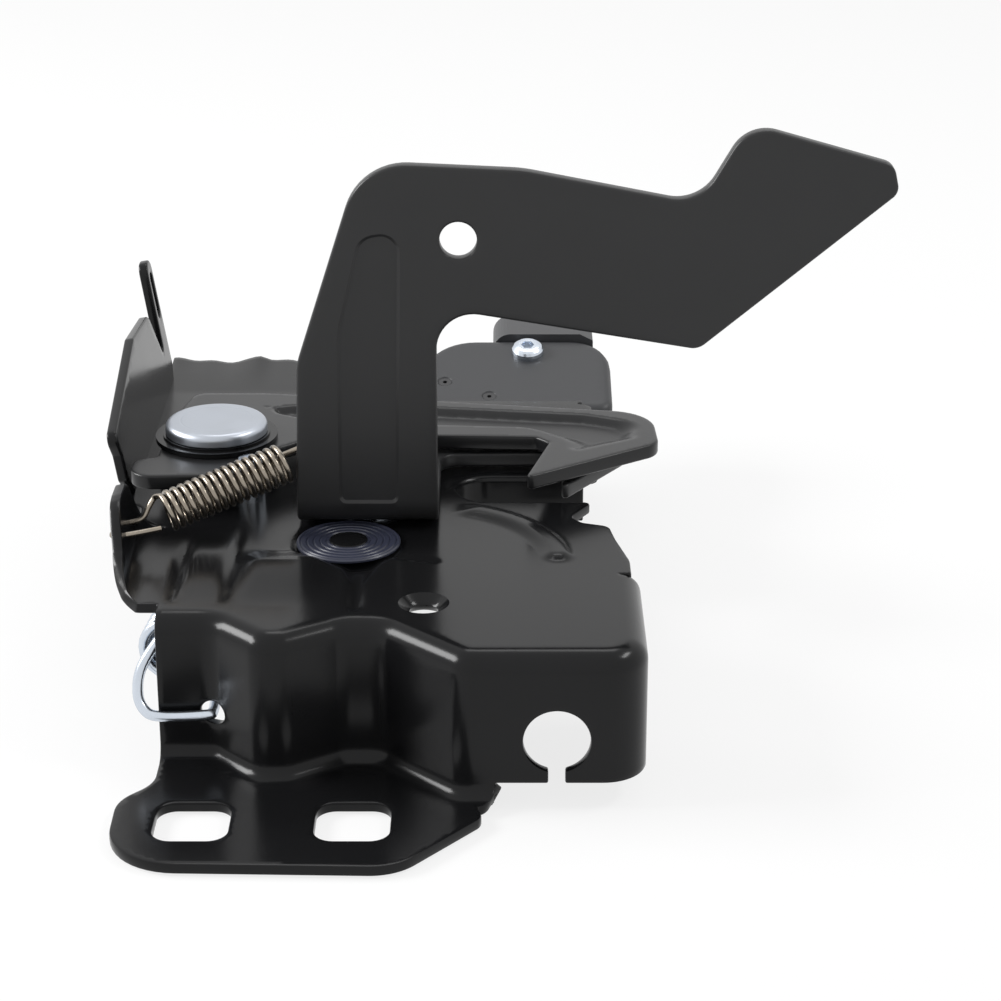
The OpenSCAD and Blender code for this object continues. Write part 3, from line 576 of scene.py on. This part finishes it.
def buildBase():
    b = basePlate
    stops, flangeEnd = wallStops()
    section, keep = wallSection()
    verts, faces = [], []

    def addGrid(rows, skip=None):
        base = len(verts)
        m = len(rows[0])
        for row in rows:
            verts.extend(row)
        for i in range(len(rows) - 1):
            for k in range(m - 1):
                if skip and skip(i, k):
                    continue
                here, there = base + i * m + k, base + (i + 1) * m + k
                faces.append((here, there, there + 1, here + 1))

    def addPlan(pts, tris, place):
        base = len(verts)
        verts.extend(place(pts))
        faces.extend(tuple(base + i for i in f) for f in tris)

    def wallPoint(stop, off, z):
        x, y, h = stop
        return (x - off * math.sin(h), y + off * math.cos(h), z)

    # front wall: columns along the path, rows down the section; windows for keyhole and spring hole stay open
    kx, kz, kr, neck = b["keyhole"]
    hx, hz, hr = b["springHole"]
    zs = [z for _, z in section]

    def windowOf(x0, x1, z0, z1, first, last):
        cols = [i for i in range(first, last + 1) if x0 <= stops[i][0] <= x1]
        rows = [k for k in range(keep) if section[k][0] == 0.0 and z0 <= zs[k] <= z1]
        return cols[0], cols[-1], rows[0], rows[-1]

    keyWindow = windowOf(kx - kr - 2.2, kx + kr + 2.2, 0, kz + kr + 2.5, flangeEnd, len(stops) - 1)
    holeWindow = windowOf(hx - hr - 2.0, hx + hr + 2.0, hz - hr - 1.8, hz + hr + 1.8, 0, flangeEnd)

    def leftOpen(first):
        def test(i, k):
            i += first
            return any(c0 <= i < c1 and r0 <= k < r1 for c0, c1, r0, r1 in (keyWindow, holeWindow))
        return test

    # the flange's bend runs out into the wall's free edge
    endX = stops[flangeEnd][0]
    rf = b["flangeBend"]
    columns = []
    lastFull = 0    # last column with the whole bend
    for i, stop in enumerate(stops[:flangeEnd + 1]):
        share = min(1.0, max(0.0, (stop[0] - endX + b["runOut"]) / b["runOut"])) if i > flangeEnd - 9 else 0.0
        if share == 0:
            lastFull = i
        most = max(0.14, math.pi / 2 * math.sqrt(1 - share ** 2))
        bend = [(-rf + rf * math.cos(most * k / 8), b["freeEdge"] - rf * math.sin(most * k / 8))
                for k in range(1, 9)]
        columns.append([wallPoint(stop, o, z) for o, z in section[:keep] + bend])
    addGrid(columns, leftOpen(0))
    addGrid([[wallPoint(s, o, z) for o, z in section[:keep]] for s in stops[flangeEnd:]], leftOpen(flangeEnd))
    # keyhole with its neck, in x and z
    c0, c1, r0, r1 = keyWindow
    wallY = stops[flangeEnd][1]
    frameLoop = [(stops[i][0], zs[r1]) for i in range(c0, c1 + 1) if stops[i][0] < kx - neck / 2 - 0.3]
    side = math.asin(neck / 2 / kr)
    frameLoop += [(kx - neck / 2, zs[r1]), (kx - neck / 2, zs[r1] + 1.2)]
    frameLoop += [(kx + kr * math.sin(a), kz - kr * math.cos(a))
                  for a in np.linspace(-side, -2 * math.pi + side, 57)]
    frameLoop += [(kx + neck / 2, zs[r1] + 1.2), (kx + neck / 2, zs[r1])]
    frameLoop += [(stops[i][0], zs[r1]) for i in range(c0, c1 + 1) if stops[i][0] > kx + neck / 2 + 0.3]
    frameLoop += [(stops[c1][0], zs[k]) for k in range(r1 - 1, r0 - 1, -1)]
    frameLoop += [(stops[i][0], zs[r0]) for i in range(c1 - 1, c0 - 1, -1)]
    frameLoop += [(stops[c0][0], zs[k]) for k in range(r0 + 1, r1)]
    pts, tris = fillPlan(tidyLoop(frameLoop), [], 1.3)
    addPlan(pts, tris, lambda p: [(x, wallY, z) for x, z in p])
    # spring hole, where y follows the wall
    c0, c1, r0, r1 = holeWindow
    xs = np.array([x for x, _, _ in stops[:flangeEnd + 1]])
    ys = np.array([y for _, y, _ in stops[:flangeEnd + 1]])
    loop = [(stops[i][0], zs[r1]) for i in range(c0, c1 + 1)]
    loop += [(stops[c1][0], zs[k]) for k in range(r1 - 1, r0 - 1, -1)]
    loop += [(stops[i][0], zs[r0]) for i in range(c1 - 1, c0 - 1, -1)]
    loop += [(stops[c0][0], zs[k]) for k in range(r0 + 1, r1)]
    pts, tris = fillPlan(loop, [ring(hx, hz, hr, 28)], 0.9)
    addPlan(pts, tris, lambda p: [(x, float(np.interp(x, xs, ys)), z) for x, z in p])

    # plate
    line, right, mouth, lip, rear, shelfLine, rimLine = plateEdge(stops)
    shelfY, rimY, lipR, foldX = b["shelfY"], b["rimY"], b["lipR"], b["foldX"]
    springEar = [(foldX, 67 - 36.5 * k / 60) for k in range(61)]
    lipEdge = [(x + lipR * nx, y + lipR * ny) for x, y, nx, ny in lip]
    outline = line + dense(right, 1.2, False) + mouth + lipEdge + dense(rear, 1.2, False) + shelfLine
    outline += dense([(26, shelfY), (26, shelfY + 1), (20, shelfY + 1), (20, rimY)], 1.2, False) + rimLine
    leftSide = rounded([(b["earX"], rimY, 0), (b["earX"], 81, 2), (b["sideX"], 77, 3), (b["sideX"], 67.3, 0),
                        (foldX, 67.3, 0)])
    outline += dense(leftSide, 1.2, False) + springEar
    outline += dense([(foldX, 30.5), (-22.5, 30.5), (-22.5, 28.5)], 1.2, False)
    outline = tidyLoop(outline)
    sinkX, sinkY, sinkR, sinkTop, sinkDepth = b["sinkHole"]
    pts, tris = fillPlan(outline, [ring(sinkX, sinkY, sinkR, 36)], 0.9, [ring(sinkX, sinkY, sinkTop, 36)])
    heights = plateHeight(pts)
    heights[edgeDistance(pts, [outline]) < 0.01] = 0    # the edge stays flat for what joins it
    sink = np.hypot(pts[:, 0] - sinkX, pts[:, 1] - sinkY)
    heights -= sinkDepth * (1 - np.clip((sink - sinkR) / (sinkTop - sinkR), 0, 1))
    addPlan(pts, tris, lambda p: [(x, y, b["top"] + z) for (x, y), z in zip(p, heights)])

    # flange
    low = [wallPoint(s, *section[-1])[:2] for s in stops[:lastFull + 1]]
    rest = rounded([(*low[-1], 0), (37.0, 1.6, 3), (22.2, -15.9, 10), (-28, -14.6, 13), (-28.4, 7.5, 9),
                    (-22.5, 14, 8), (-22.5, 20, 0)], 12)
    flange = tidyLoop(low + dense(rest, 1.2, False))
    w, d, r = b["slot"]
    slots = []
    for sx in (-1, 1):
        cx = sx * b["slotPitch"] / 2
        corners = [(cx + k * w / 2, m * d / 2, r) for k, m in ((1, 1), (-1, 1), (-1, -1), (1, -1))]
        slots.append(dense(rounded(corners), 1.2))
    pts, tris = fillPlan(flange, slots, 1.2)
    addPlan(pts, tris, lambda p: [(x, y, b["sheet"]) for x, y in p])

    # rear of the plate, with a wavy edge and a crease
    rows = []
    for x, y in rimLine:
        wave = 0.7 * math.sin(x * 0.33) + 0.5 * math.sin(x * 0.71 + 1)
        fold = 0.5 * math.exp(-((x + 15) / 1.6) ** 2)
        rows.append([(x, y + (b["rimDepth"] + wave) * t, b["top"] + 0.9 * t + (fold + 0.25 * wave) * t * t)
                     for t in np.linspace(0, 1, 13)])
    addGrid(rows)
    # shelf, and the lip turned down behind the striker slot
    step = [(shelfY, b["top"]), (139.4, 29.95), (140.0, 29.2), (140.5, 27.0), (141.0, 23.5), (141.4, 20.9),
            (141.9, 20.02)]
    step += [(y, b["shelfZ"]) for y in (143, 150, 160, 168)]
    addGrid([[(x, y, z) for y, z in step] for x, _ in shelfLine])
    turnDown = [(lipR - lipR * math.sin(a), b["top"] - lipR + lipR * math.cos(a))
                for a in np.radians(np.linspace(0, 90, 7))]
    addGrid([[(x + o * nx, y + o * ny, z) for o, z in turnDown + [(0, 26), (0, 20)]] for x, y, nx, ny in lip])

    # spring ear: one broad bend up from the plate's left edge, cut to a length that grows from the front corner
    cut = ((30.5, 0.6), (32, 1.7), (34, 3.2), (38, 4.8), (42, 6.2), (45, 7.6), (47, 9.4), (49, 11.4), (51.5, 13.2),
           (53.5, 14.0), (56, 14.3), (61.5, 14.3), (63.2, 13.6), (64.6, 11.6), (65.8, 8.4), (66.6, 4), (67, 0.6))
    bendR, turn = b["earBend"][0], math.radians(b["earBend"][1])
    rows = []
    for x, y in springEar:
        row = []
        for t in np.linspace(0, 1, 17):
            length = t * float(np.interp(y, *zip(*cut)))
            a = min(length / bendR, turn)
            more = max(0.0, length - bendR * turn)
            row.append((x - bendR * math.sin(a) - more * math.cos(a), y,
                        b["top"] + bendR - bendR * math.cos(a) + more * math.sin(a)))
        rows.append(row)
    addGrid(rows)
    return verts, faces


def finishSheet(obj, thick, edge):
    skin = obj.modifiers.new("sheet", "SOLIDIFY")
    skin.thickness = thick * mm
    skin.offset = -1
    skin.use_even_offset = True
    outer = [(v.co.copy(), v.normal.copy()) for v in obj.data.vertices]
    applyModifiers(obj)
    for i, v in enumerate(obj.data.vertices):    # steep folds throw a few inner points far out: these go straight in
        place, normal = outer[i % len(outer)]
        if (v.co - place).length > 1.45 * thick * mm:
            v.co = place - normal * thick * mm
    corners = KDTree(len(obj.data.vertices))
    for i, v in enumerate(obj.data.vertices):
        corners.insert(v.co, i)
    corners.balance()
    rim = obj.modifiers.new("rim", "BEVEL")
    rim.width = edge * mm
    rim.segments = 2
    rim.limit_method = "ANGLE"
    rim.angle_limit = math.radians(50)
    rim.use_clamp_overlap = False
    applyModifiers(obj)
    for v in obj.data.vertices:    # a tight crease throws a few points far out: these go back to their corner
        corner, _, reach = corners.find(v.co)
        if reach > 3 * edge * mm:
            v.co = corner
    return obj


def buildLongEar():
    # ear beside the catch with the slotted tab at its rear, leaning outwards
    b = basePlate
    outline = rounded([(87, 0, 0), (152, 0, 0), (155.8, 5, 2), (155.8, 30.2, 2.6), (149.6, 30.2, 2.6), (148.8, 8, 1.2),
                       (139.5, 21.8, 4), (118, 23.7, 4), (78, 16.2, 2), (81, 11.3, 1), (81, 6, 1.5)])
    slot = rounded([(154.2, 27.5, 1.49), (151.2, 27.5, 1.49), (151.2, 17, 1.49), (154.2, 17, 1.49)])
    verts, faces = roundPlate(dense(tidyLoop(outline), 1.2), [dense(tidyLoop(slot), 0.8)], 1.4, b["sheet"], 0.4)
    low, lean = b["top"] - b["sheet"], math.radians(b["earLean"])
    out = [(b["earX"] + w * math.cos(lean) - h * math.sin(lean), y, low + h * math.cos(lean) + w * math.sin(lean))
           for y, h, w in verts]
    return meshObject("longEar", out, faces, finish["blackCoat"])


def faceUp(obj):
    # the plate's outer side has to look up before it gets its thickness
    bm = bmesh.new()
    bm.from_mesh(obj.data)
    level = (basePlate["top"] - 0.5) * mm
    topFaces = [f for f in bm.faces if abs(f.normal.z) > 0.99 and f.calc_center_median().z > level]
    if sum(f.normal.z for f in topFaces) < 0:
        bmesh.ops.reverse_faces(bm, faces=bm.faces)
    bm.to_mesh(obj.data)
    bm.free()


baseShell = meshObject("baseShell", *buildBase(), finish["blackCoat"], weld=0.02)
faceUp(baseShell)
finishSheet(baseShell, basePlate["sheet"], basePlate["edgeRound"])
baseShell = joinPieces("baseShell", [baseShell, buildLongEar()])
dress(baseShell, "base", "black_coat", "base_plate")
print("base plate:", len(baseShell.data.polygons), "faces")

safetyLever = {
    "thick": 3.0, "front": 65.0, "bendR": 4.0, "footLow": 31.0, "edge": 0.55,
    "hole": (32.1, 88.4, 3.5),           # x, z, radius
    "pivot": (14, 77, 4.05),             # x, y, radius
    "panelLow": 35.7, "panelDepth": 0.45, "panelEdge": 0.6,
    "tabX": 6.0, "tabThick": 2.0, "tabHole": (71, 45.8, 1.3),    # y, z, radius
}


def buildLever():
    s = safetyLever
    t, ro = s["thick"], s["bendR"]
    bendLen = (ro - t / 2) * math.pi / 2
    z0, y0 = s["footLow"] + ro, s["front"] + ro
    # flat pattern: u across, v up the upright from the bend's top; the foot has v below -bendLen
    upright = rounded([(27.9, 0, 0), (27.9, 75.2 - z0, 7), (77.4, 67 - z0, 3.5), (113.8, 97.5 - z0, 2.5),
                       (112.6, 102.8 - z0, 3), (85.5, 110.5 - z0, 7), (76.8, 95.4 - z0, 8), (44, 101.8 - z0, 30),
                       (14, 103.2 - z0, 12), (1.3, 64 - z0, 10), (0.5, 0, 0)], 12)
    foot = rounded([(0.5, 69, 0), (0.5, 84, 5), (12, 92, 8), (20, 106, 8), (61, 106, 5), (66.5, 99, 4), (52, 77, 0.8),
                    (53, 97, 2), (27.9, 96.5, 4), (27.9, 69, 0)])
    outline = upright + [(x, -bendLen - (y - y0)) for x, y in foot]
    outline = dense(tidyLoop(outline), 1.1)
    hx, hz, hr = s["hole"]
    px, py, pr = s["pivot"]
    holes = [ring(hx, hz - z0, hr, 40), ring(px, -bendLen - (py - y0), pr, 40)]
    low = s["panelLow"] - z0
    panel = rounded([(8.8, low, 1.5), (20.3, low, 1.5), (21, 72 - z0, 60), (21.3, 90.5 - z0, 3.6), (13.4, 89 - z0, 4),
                     (9, 70 - z0, 25)])
    panel = dense(tidyLoop(panel), 1.0)
    creases = [panel, inset(panel, s["panelEdge"])]

    def panelHeight(p):    # the panel is pressed in on both faces
        slope = np.clip(edgeDistance(p, [panel]) / s["panelEdge"], 0, 1)
        return np.where(insideMask(p, [panel]), -s["panelDepth"] * slope, 0.0)

    verts, faces = roundPlate(outline, holes, 1.3, t, s["edge"], panelHeight, panelHeight, creases)
    out = []
    for u, v, w in verts:    # w = t is the front face
        d = t - w            # depth behind the front face
        if v >= 0:
            out.append((u, s["front"] + d, z0 + v))
        elif v > -bendLen:
            a = -v / bendLen * math.pi / 2
            r = ro - d
            out.append((u, y0 - r * math.cos(a), z0 - r * math.sin(a)))
        else:
            out.append((u, y0 + (-v - bendLen), s["footLow"] + d))
    return meshObject("leverPlate", out, faces, finish["satinCoat"])


def buildLeverTab():
    s = safetyLever
    outline = dense(rounded([(66.5, 40.8, 0), (77, 40.8, 3), (77, 50.8, 3), (66.5, 50.8, 0)]), 1.0)
    verts, faces = roundPlate(outline, [ring(*s["tabHole"], 24)], 1.0, s["tabThick"], 0.3)
    return meshObject("leverTab", [(s["tabX"] + w, y, z) for y, z, w in verts], faces, finish["satinCoat"])


leverPlate = joinPieces("leverPlate", [buildLever(), buildLeverTab()])
dress(leverPlate, "lever", "satin_coat", "safety_lever")
print("safety lever:", len(leverPlate.data.polygons), "faces")

catchHook = {
    "low": 35.0, "thick": 3.0, "edge": 0.5, "dish": 1.7,
    "pivot": (-17.8, 95.0, 6.05), "stud": (-10.0, 82.0, 2.25),    # x, y, radius
    "dishSlope": (2.4, 4.0),    # width of the dish's slope, and how much wider it is at the nose
}


def buildCatch():
    c = catchHook
    outline = rounded([(44.8, 72.9, 0.8), (72.2, 92.2, 5), (71.6, 110.2, 10), (27, 117.4, 60), (-10, 122.4, 30),
                       (-25, 122.4, 3.5), (-28.6, 105, 15), (-28.6, 84.2, 1.2), (-33.2, 83.4, 4), (-33.2, 73.6, 4.5),
                       (-12, 74.5, 9), (-5.5, 89, 10), (4, 97.4, 12), (47.2, 95.6, 2), (49.8, 92.6, 1.2)], 10)
    outline = dense(tidyLoop(outline), 1.0)
    dish = rounded([(53.5, 86, 2.4), (68.6, 95, 4), (69.0, 104.6, 7), (57.5, 109.4, 8), (27, 113.6, 40),
                    (-6, 117.2, 30), (-12, 112, 5), (4, 104, 14), (46, 101.2, 8), (53.0, 94, 5)], 10)
    dish = dense(tidyLoop(dish), 0.8)

    def dishHeight(p):
        least, more = c["dishSlope"]
        nose = soft(p[:, 0], 40, 58) * (1 - soft(p[:, 1], 92, 108))
        slope = soft(edgeDistance(p, [dish]) / (least + more * nose), 0, 1)
        return np.where(insideMask(p, [dish]), -c["dish"] * slope, 0.0)

    holes = [ring(*c["pivot"], 48), ring(*c["stud"], 28)]
    creases = [dish, inset(dish, 0.7), inset(dish, 1.4)]
    verts, faces = roundPlate(outline, holes, 0.7, c["thick"], c["edge"], dishHeight, None, creases)
    return meshObject("catchPlate", [(x, y, c["low"] + w) for x, y, w in verts], faces, finish["catchCoat"])


catchPlate = buildCatch()
dress(catchPlate, "catch", "satin_coat", "catch_hook")
print("catch hook:", len(catchPlate.data.polygons), "faces")

catchRivet = {
    "at": (-17.8, 95.0), "headR": 10.35, "headLow": 39.5, "headHigh": 42.1, "shankR": 6.0, "rimR": 1.4, "markR": 7.25,
}


def buildCatchRivet():
    c = catchRivet
    r, z0, z1, shank, q, mark = (c[k] for k in ("headR", "headLow", "headHigh", "shankR", "rimR", "markR"))
    # formed end under the plate, shank, then the head with a faint ring in its face
    profile = [(0, 25), (5.5, 25), (7.5, 28), (4.5, 28), (4.5, 30), (shank, 30), (shank, z0)]
    profile += [(r - 0.2, z0), (r, z0 + 0.2)]
    profile += [(r - q + q * math.cos(a), z1 - q + q * math.sin(a)) for a in np.radians(np.linspace(0, 90, 9))]
    profile += [(mark + 0.35, z1), (mark + 0.15, z1), (mark, z1 - 0.05), (mark - 0.15, z1), (mark - 0.35, z1), (0, z1)]
    verts, faces = latheMesh(profile, c["at"], 96)
    return meshObject("catchRivetHead", verts, faces, finish["rivetFace"], angle=40)


rivetHead = buildCatchRivet()
dress(rivetHead, "base", "zinc", "catch_rivet")

releaseDisc = {
    "at": (10.8, 59.0), "outer": 10.0, "bore": 3.5, "low": 30.0, "high": 30.6, "chamfer": 0.25,
    "pitch": 1.25, "grooveWide": 0.5, "grooveDeep": 0.24,
}


def buildReleaseDisc():
    # turned washer with rings cut in its face
    d = releaseDisc
    outer, bore, low, high, cut, wide = (d[k] for k in ("outer", "bore", "low", "high", "chamfer", "grooveWide"))
    profile = [(bore, low), (bore, high)]
    r = bore + 0.5
    while r < outer - 0.8:
        profile += [(r, high), (r + wide / 2, high - d["grooveDeep"]), (r + wide, high)]
        r += d["pitch"]
    profile += [(outer - cut, high), (outer, high - cut), (outer, low), (bore, low)]
    verts, faces = latheMesh(profile, d["at"], 96)
    return meshObject("releaseDisc", verts, faces, finish["bluedSteel"], angle=20)


disc = buildReleaseDisc()
dress(disc, "base", "blued", "release_washer")
print("turned parts done")

safetySpring = {
    "wire": 1.1, "coil": 8.2, "turns": 16.75, "gap": 0.4, "sides": 12,
    "ear": (-31.62, 54.0, 34.81), "tab": (7.0, 71.0, 45.8), "lead": 8.8,    # lead: from the ear to the coil
}
catchSpring = {
    "wire": 2.0, "coil": 12.5, "turns": 12.75, "gap": 0.25, "sides": 14,
    "from": (-20.6, 30.0, 20.5), "stud": (-10.0, 82.0, 21.0), "aside": (6.5, 12, 0),    # aside: coil's aim off the stud
    "wallGap": 0.5, "edgeGap": 1.4,
}


def makeWireTree():
    # a round wire along the object's own curve
    tree = bpy.data.node_groups.new("wireAlongPath", "GeometryNodeTree")
    face = tree.interface
    face.new_socket("Geometry", in_out="INPUT", socket_type="NodeSocketGeometry")
    face.new_socket("Wire diameter", in_out="INPUT", socket_type="NodeSocketFloat")
    face.new_socket("Sides", in_out="INPUT", socket_type="NodeSocketInt")
    face.new_socket("Finish", in_out="INPUT", socket_type="NodeSocketMaterial")
    face.new_socket("Geometry", in_out="OUTPUT", socket_type="NodeSocketGeometry")
    inp = tree.nodes.new("NodeGroupInput")
    out = tree.nodes.new("NodeGroupOutput")
    half = tree.nodes.new("ShaderNodeMath")
    half.operation = "MULTIPLY"
    half.inputs[1].default_value = 0.5
    circle = tree.nodes.new("GeometryNodeCurvePrimitiveCircle")
    skin = tree.nodes.new("GeometryNodeCurveToMesh")
    skin.inputs["Fill Caps"].default_value = True
    smooth = tree.nodes.new("GeometryNodeSetShadeSmooth")
    real = tree.nodes.new("GeometryNodeRealizeInstances")
    paint = tree.nodes.new("GeometryNodeSetMaterial")
    tree.links.new(inp.outputs["Wire diameter"], half.inputs[0])
    tree.links.new(half.outputs[0], circle.inputs["Radius"])
    tree.links.new(inp.outputs["Sides"], circle.inputs["Resolution"])
    tree.links.new(inp.outputs["Geometry"], skin.inputs["Curve"])
    tree.links.new(circle.outputs["Curve"], skin.inputs["Profile Curve"])
    tree.links.new(skin.outputs["Mesh"], smooth.inputs["Geometry"])
    tree.links.new(smooth.outputs["Geometry"], real.inputs["Geometry"])
    tree.links.new(real.outputs["Geometry"], paint.inputs["Geometry"])
    tree.links.new(inp.outputs["Finish"], paint.inputs["Material"])
    tree.links.new(paint.outputs["Geometry"], out.inputs["Geometry"])
    return tree


wireTree = makeWireTree()


def smoothPath(points, per=8):
    # Catmull-Rom through the points
    p = [np.array(q, float) for q in points]
    p = [2 * p[0] - p[1]] + p + [2 * p[-1] - p[-2]]
    out = []
    for i in range(1, len(p) - 2):
        a, b, c, d = p[i - 1:i + 3]
        for k in range(per):
            t = k / per
            square, cube = 2 * a - 5 * b + 4 * c - d, 3 * b - a - 3 * c + d
            out.append(0.5 * (2 * b + (c - a) * t + square * t ** 2 + cube * t ** 3))
    out.append(p[-2])
    return out


def wirePiece(name, path, wire, sides, material):
    curve = bpy.data.curves.new(name + "Path", "CURVE")
    curve.dimensions = "3D"
    line = curve.splines.new("POLY")
    line.points.add(len(path) - 1)
    for point, co in zip(line.points, path):
        point.co = (*(c * mm for c in co), 1)
    holder = link(bpy.data.objects.new(name + "Path", curve))
    mod = holder.modifiers.new("wire", "NODES")
    mod.node_group = wireTree
    ids = {item.name: item.identifier for item in wireTree.interface.items_tree if item.in_out == "INPUT"}
    mod[ids["Wire diameter"]] = wire * mm
    mod[ids["Sides"]] = sides
    mod[ids["Finish"]] = material
    graph = bpy.context.evaluated_depsgraph_get()
    graph.update()
    mesh = bpy.data.meshes.new_from_object(holder.evaluated_get(graph))
    bpy.data.objects.remove(holder)
    obj = link(bpy.data.objects.new(name, mesh))
    shadeByAngle(mesh, 50)
    return obj


def coilPoints(start, axis, side, r, length, turns, steps=24):
    up = np.cross(axis, side)
    out = []
    for i in range(int(turns * steps) + 1):
        a = 2 * math.pi * i / steps
        out.append(start + axis * length * i / (turns * steps) + r * (math.cos(a) * side + math.sin(a) * up))
    return out


def unit(v):
    return v / np.linalg.norm(v)


def buildSafetySpring():
    # loop through the ear's two holes, coil from its top, straight tail into the lever's tab
    s = safetySpring
    ear, tab = np.array(s["ear"]), np.array(s["tab"])
    axis = unit(tab - ear)
    top = np.cross(unit(np.cross(axis, [0, 0, 1.0])), axis)
    r = (s["coil"] - s["wire"]) / 2
    start, length = ear + axis * s["lead"], s["turns"] * (s["wire"] + s["gap"])
    coil = coilPoints(start, axis, top, r, length, s["turns"])
    loop = ((7.3, -0.6, 0.5), (3.6, -2.0, 0.25), (0, -3, 0), (-1.7, -2.2, -0.3), (-1.8, 0, -0.4), (-1.7, 2.2, -0.3),
            (0, 3, 0), (3.2, 3.2, 0.9), (4.5, 4.0, 3), (5.7, 4.6, 4.8))
    hook = [ear + np.array(v) for v in loop] + [coil[0]]
    tail = [coil[-1]] + [tab + np.array(v) for v in ((-5, -0.3, -0.4), (-2.5, 0, 0), (2.4, 0, 0))]
    path = smoothPath(hook, 6)[:-1] + coil + smoothPath(tail, 6)[1:]
    return wirePiece("safetyCoil", path, s["wire"], s["sides"], finish["bronzeWire"]), start, start + axis * length


def buildCatchSpring():
    # wire through the wall's hole and round its left edge, coil, then a hook round the stud
    s = catchSpring
    start, stud = np.array(s["from"]), np.array(s["stud"])
    axis = unit(stud - np.array(s["aside"]) - start)
    top = np.cross(unit(np.cross(axis, [0, 0, 1.0])), axis)
    r = (s["coil"] - s["wire"]) / 2
    length = s["turns"] * (s["wire"] + s["gap"])
    coil = coilPoints(start, axis, top, r, length, s["turns"])
    x0, y0 = basePlate["start"]
    hx, hz, _ = basePlate["springHole"]
    front, edge = y0 - s["wire"] / 2 - s["wallGap"], x0 - s["wire"] / 2 - s["edgeGap"]
    lead = [(hx, y0 + 4, hz), (hx, y0, hz), (hx - 1.2, front, hz), (edge + 3, front, hz - 0.3),
            (edge, front + 0.8, hz + 0.6), (edge - 1.3, y0 + 1, hz + 3.4), (edge - 0.4, y0 + 3, hz + 8), coil[0]]
    hook = ((-3.8, -7, 0), (-4.1, -2, 0), (-3.2, 2.6, 0), (0, 4.1, 0), (3.2, 2.6, 0))
    tail = [coil[-1]] + [stud + np.array(v) for v in hook]
    path = smoothPath(lead, 6)[:-1] + coil + smoothPath(tail, 6)[1:]
    return wirePiece("catchCoil", path, s["wire"], s["sides"], finish["zincPlate"]), start, stud


def dressSpring(piece, start, end, body, slot, node):
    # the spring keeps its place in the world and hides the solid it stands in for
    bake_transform(piece)
    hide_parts(node)
    return piece


safetyCoil = dressSpring(*buildSafetySpring(), "lever", "spring_wire", "safety_spring")
catchCoil = dressSpring(*buildCatchSpring(), "catch", "zinc", "catch_spring")
print("springs:", len(safetyCoil.data.polygons), len(catchCoil.data.polygons), "faces")

switchBlock = {
    "at": (22.0, 142.0), "size": (43.0, 26.0), "shelf": 20.0, "front": 7.5, "slope": 16.0, "edge": 1.8,
    "pins": ((5.5, 9.7), (15.5, 4.4)), "pinHoleR": 1.55, "pinEdge": 0.3,
    "flatHigh": 10.0,    # height before it is scaled to the sloping face
}


def buildSwitchBlock():
    # housing with soft edges and a sloping face
    s = switchBlock
    (x0, y0), (w, d) = s["at"], s["size"]
    outline = rounded([(x0, y0, 3), (x0 + w, y0, 3), (x0 + w, y0 + d, 9), (x0 + 4, y0 + d, 12), (x0, y0 + 15, 9)])
    holes = [ring(x0 + px, y0 + py, s["pinHoleR"], 28) for px, py in s["pins"]]
    edges = [s["edge"]] + [s["pinEdge"]] * len(holes)
    verts, faces = roundPlate(dense(tidyLoop(outline), 1.2), holes, 1.5, s["flatHigh"], edges)
    rise = math.tan(math.radians(s["slope"]))
    out = [(x, y, s["shelf"] + h / s["flatHigh"] * (s["front"] + (y - y0) * rise)) for x, y, h in verts]
    return meshObject("switchBlock", out, faces, finish["switchPlastic"])


switchShell = buildSwitchBlock()
dress(switchShell, "base", "plastic", "switch_housing")
print("switch:", len(switchShell.data.polygons), "faces")

# the other solids keep their shape and get a finish
nodeFinish = {
    "catch_stud": "zincPlate", "catch_washer": "blackCoat", "catch_bush": "blackCoat",
    "lever_rivet": "zincPlate", "lever_washer": "zincPlate",
    "release_lever": "satinCoat", "release_rivet": "blackCoat", "release_spacer": "zincPlate",
    "switch_connector": "switchPlastic", "switch_screw": "zincPlate",
    "left_switch_pin": "pinPlastic", "right_switch_pin": "pinPlastic",
    "left_terminal": "brassBlade", "right_terminal": "brassBlade",
}
for nodeName, finishName in nodeFinish.items():
    mesh = nodes[nodeName].data
    mesh.materials.clear()
    mesh.materials.append(finish[finishName])
print("finishes on", len(nodeFinish), "solids")
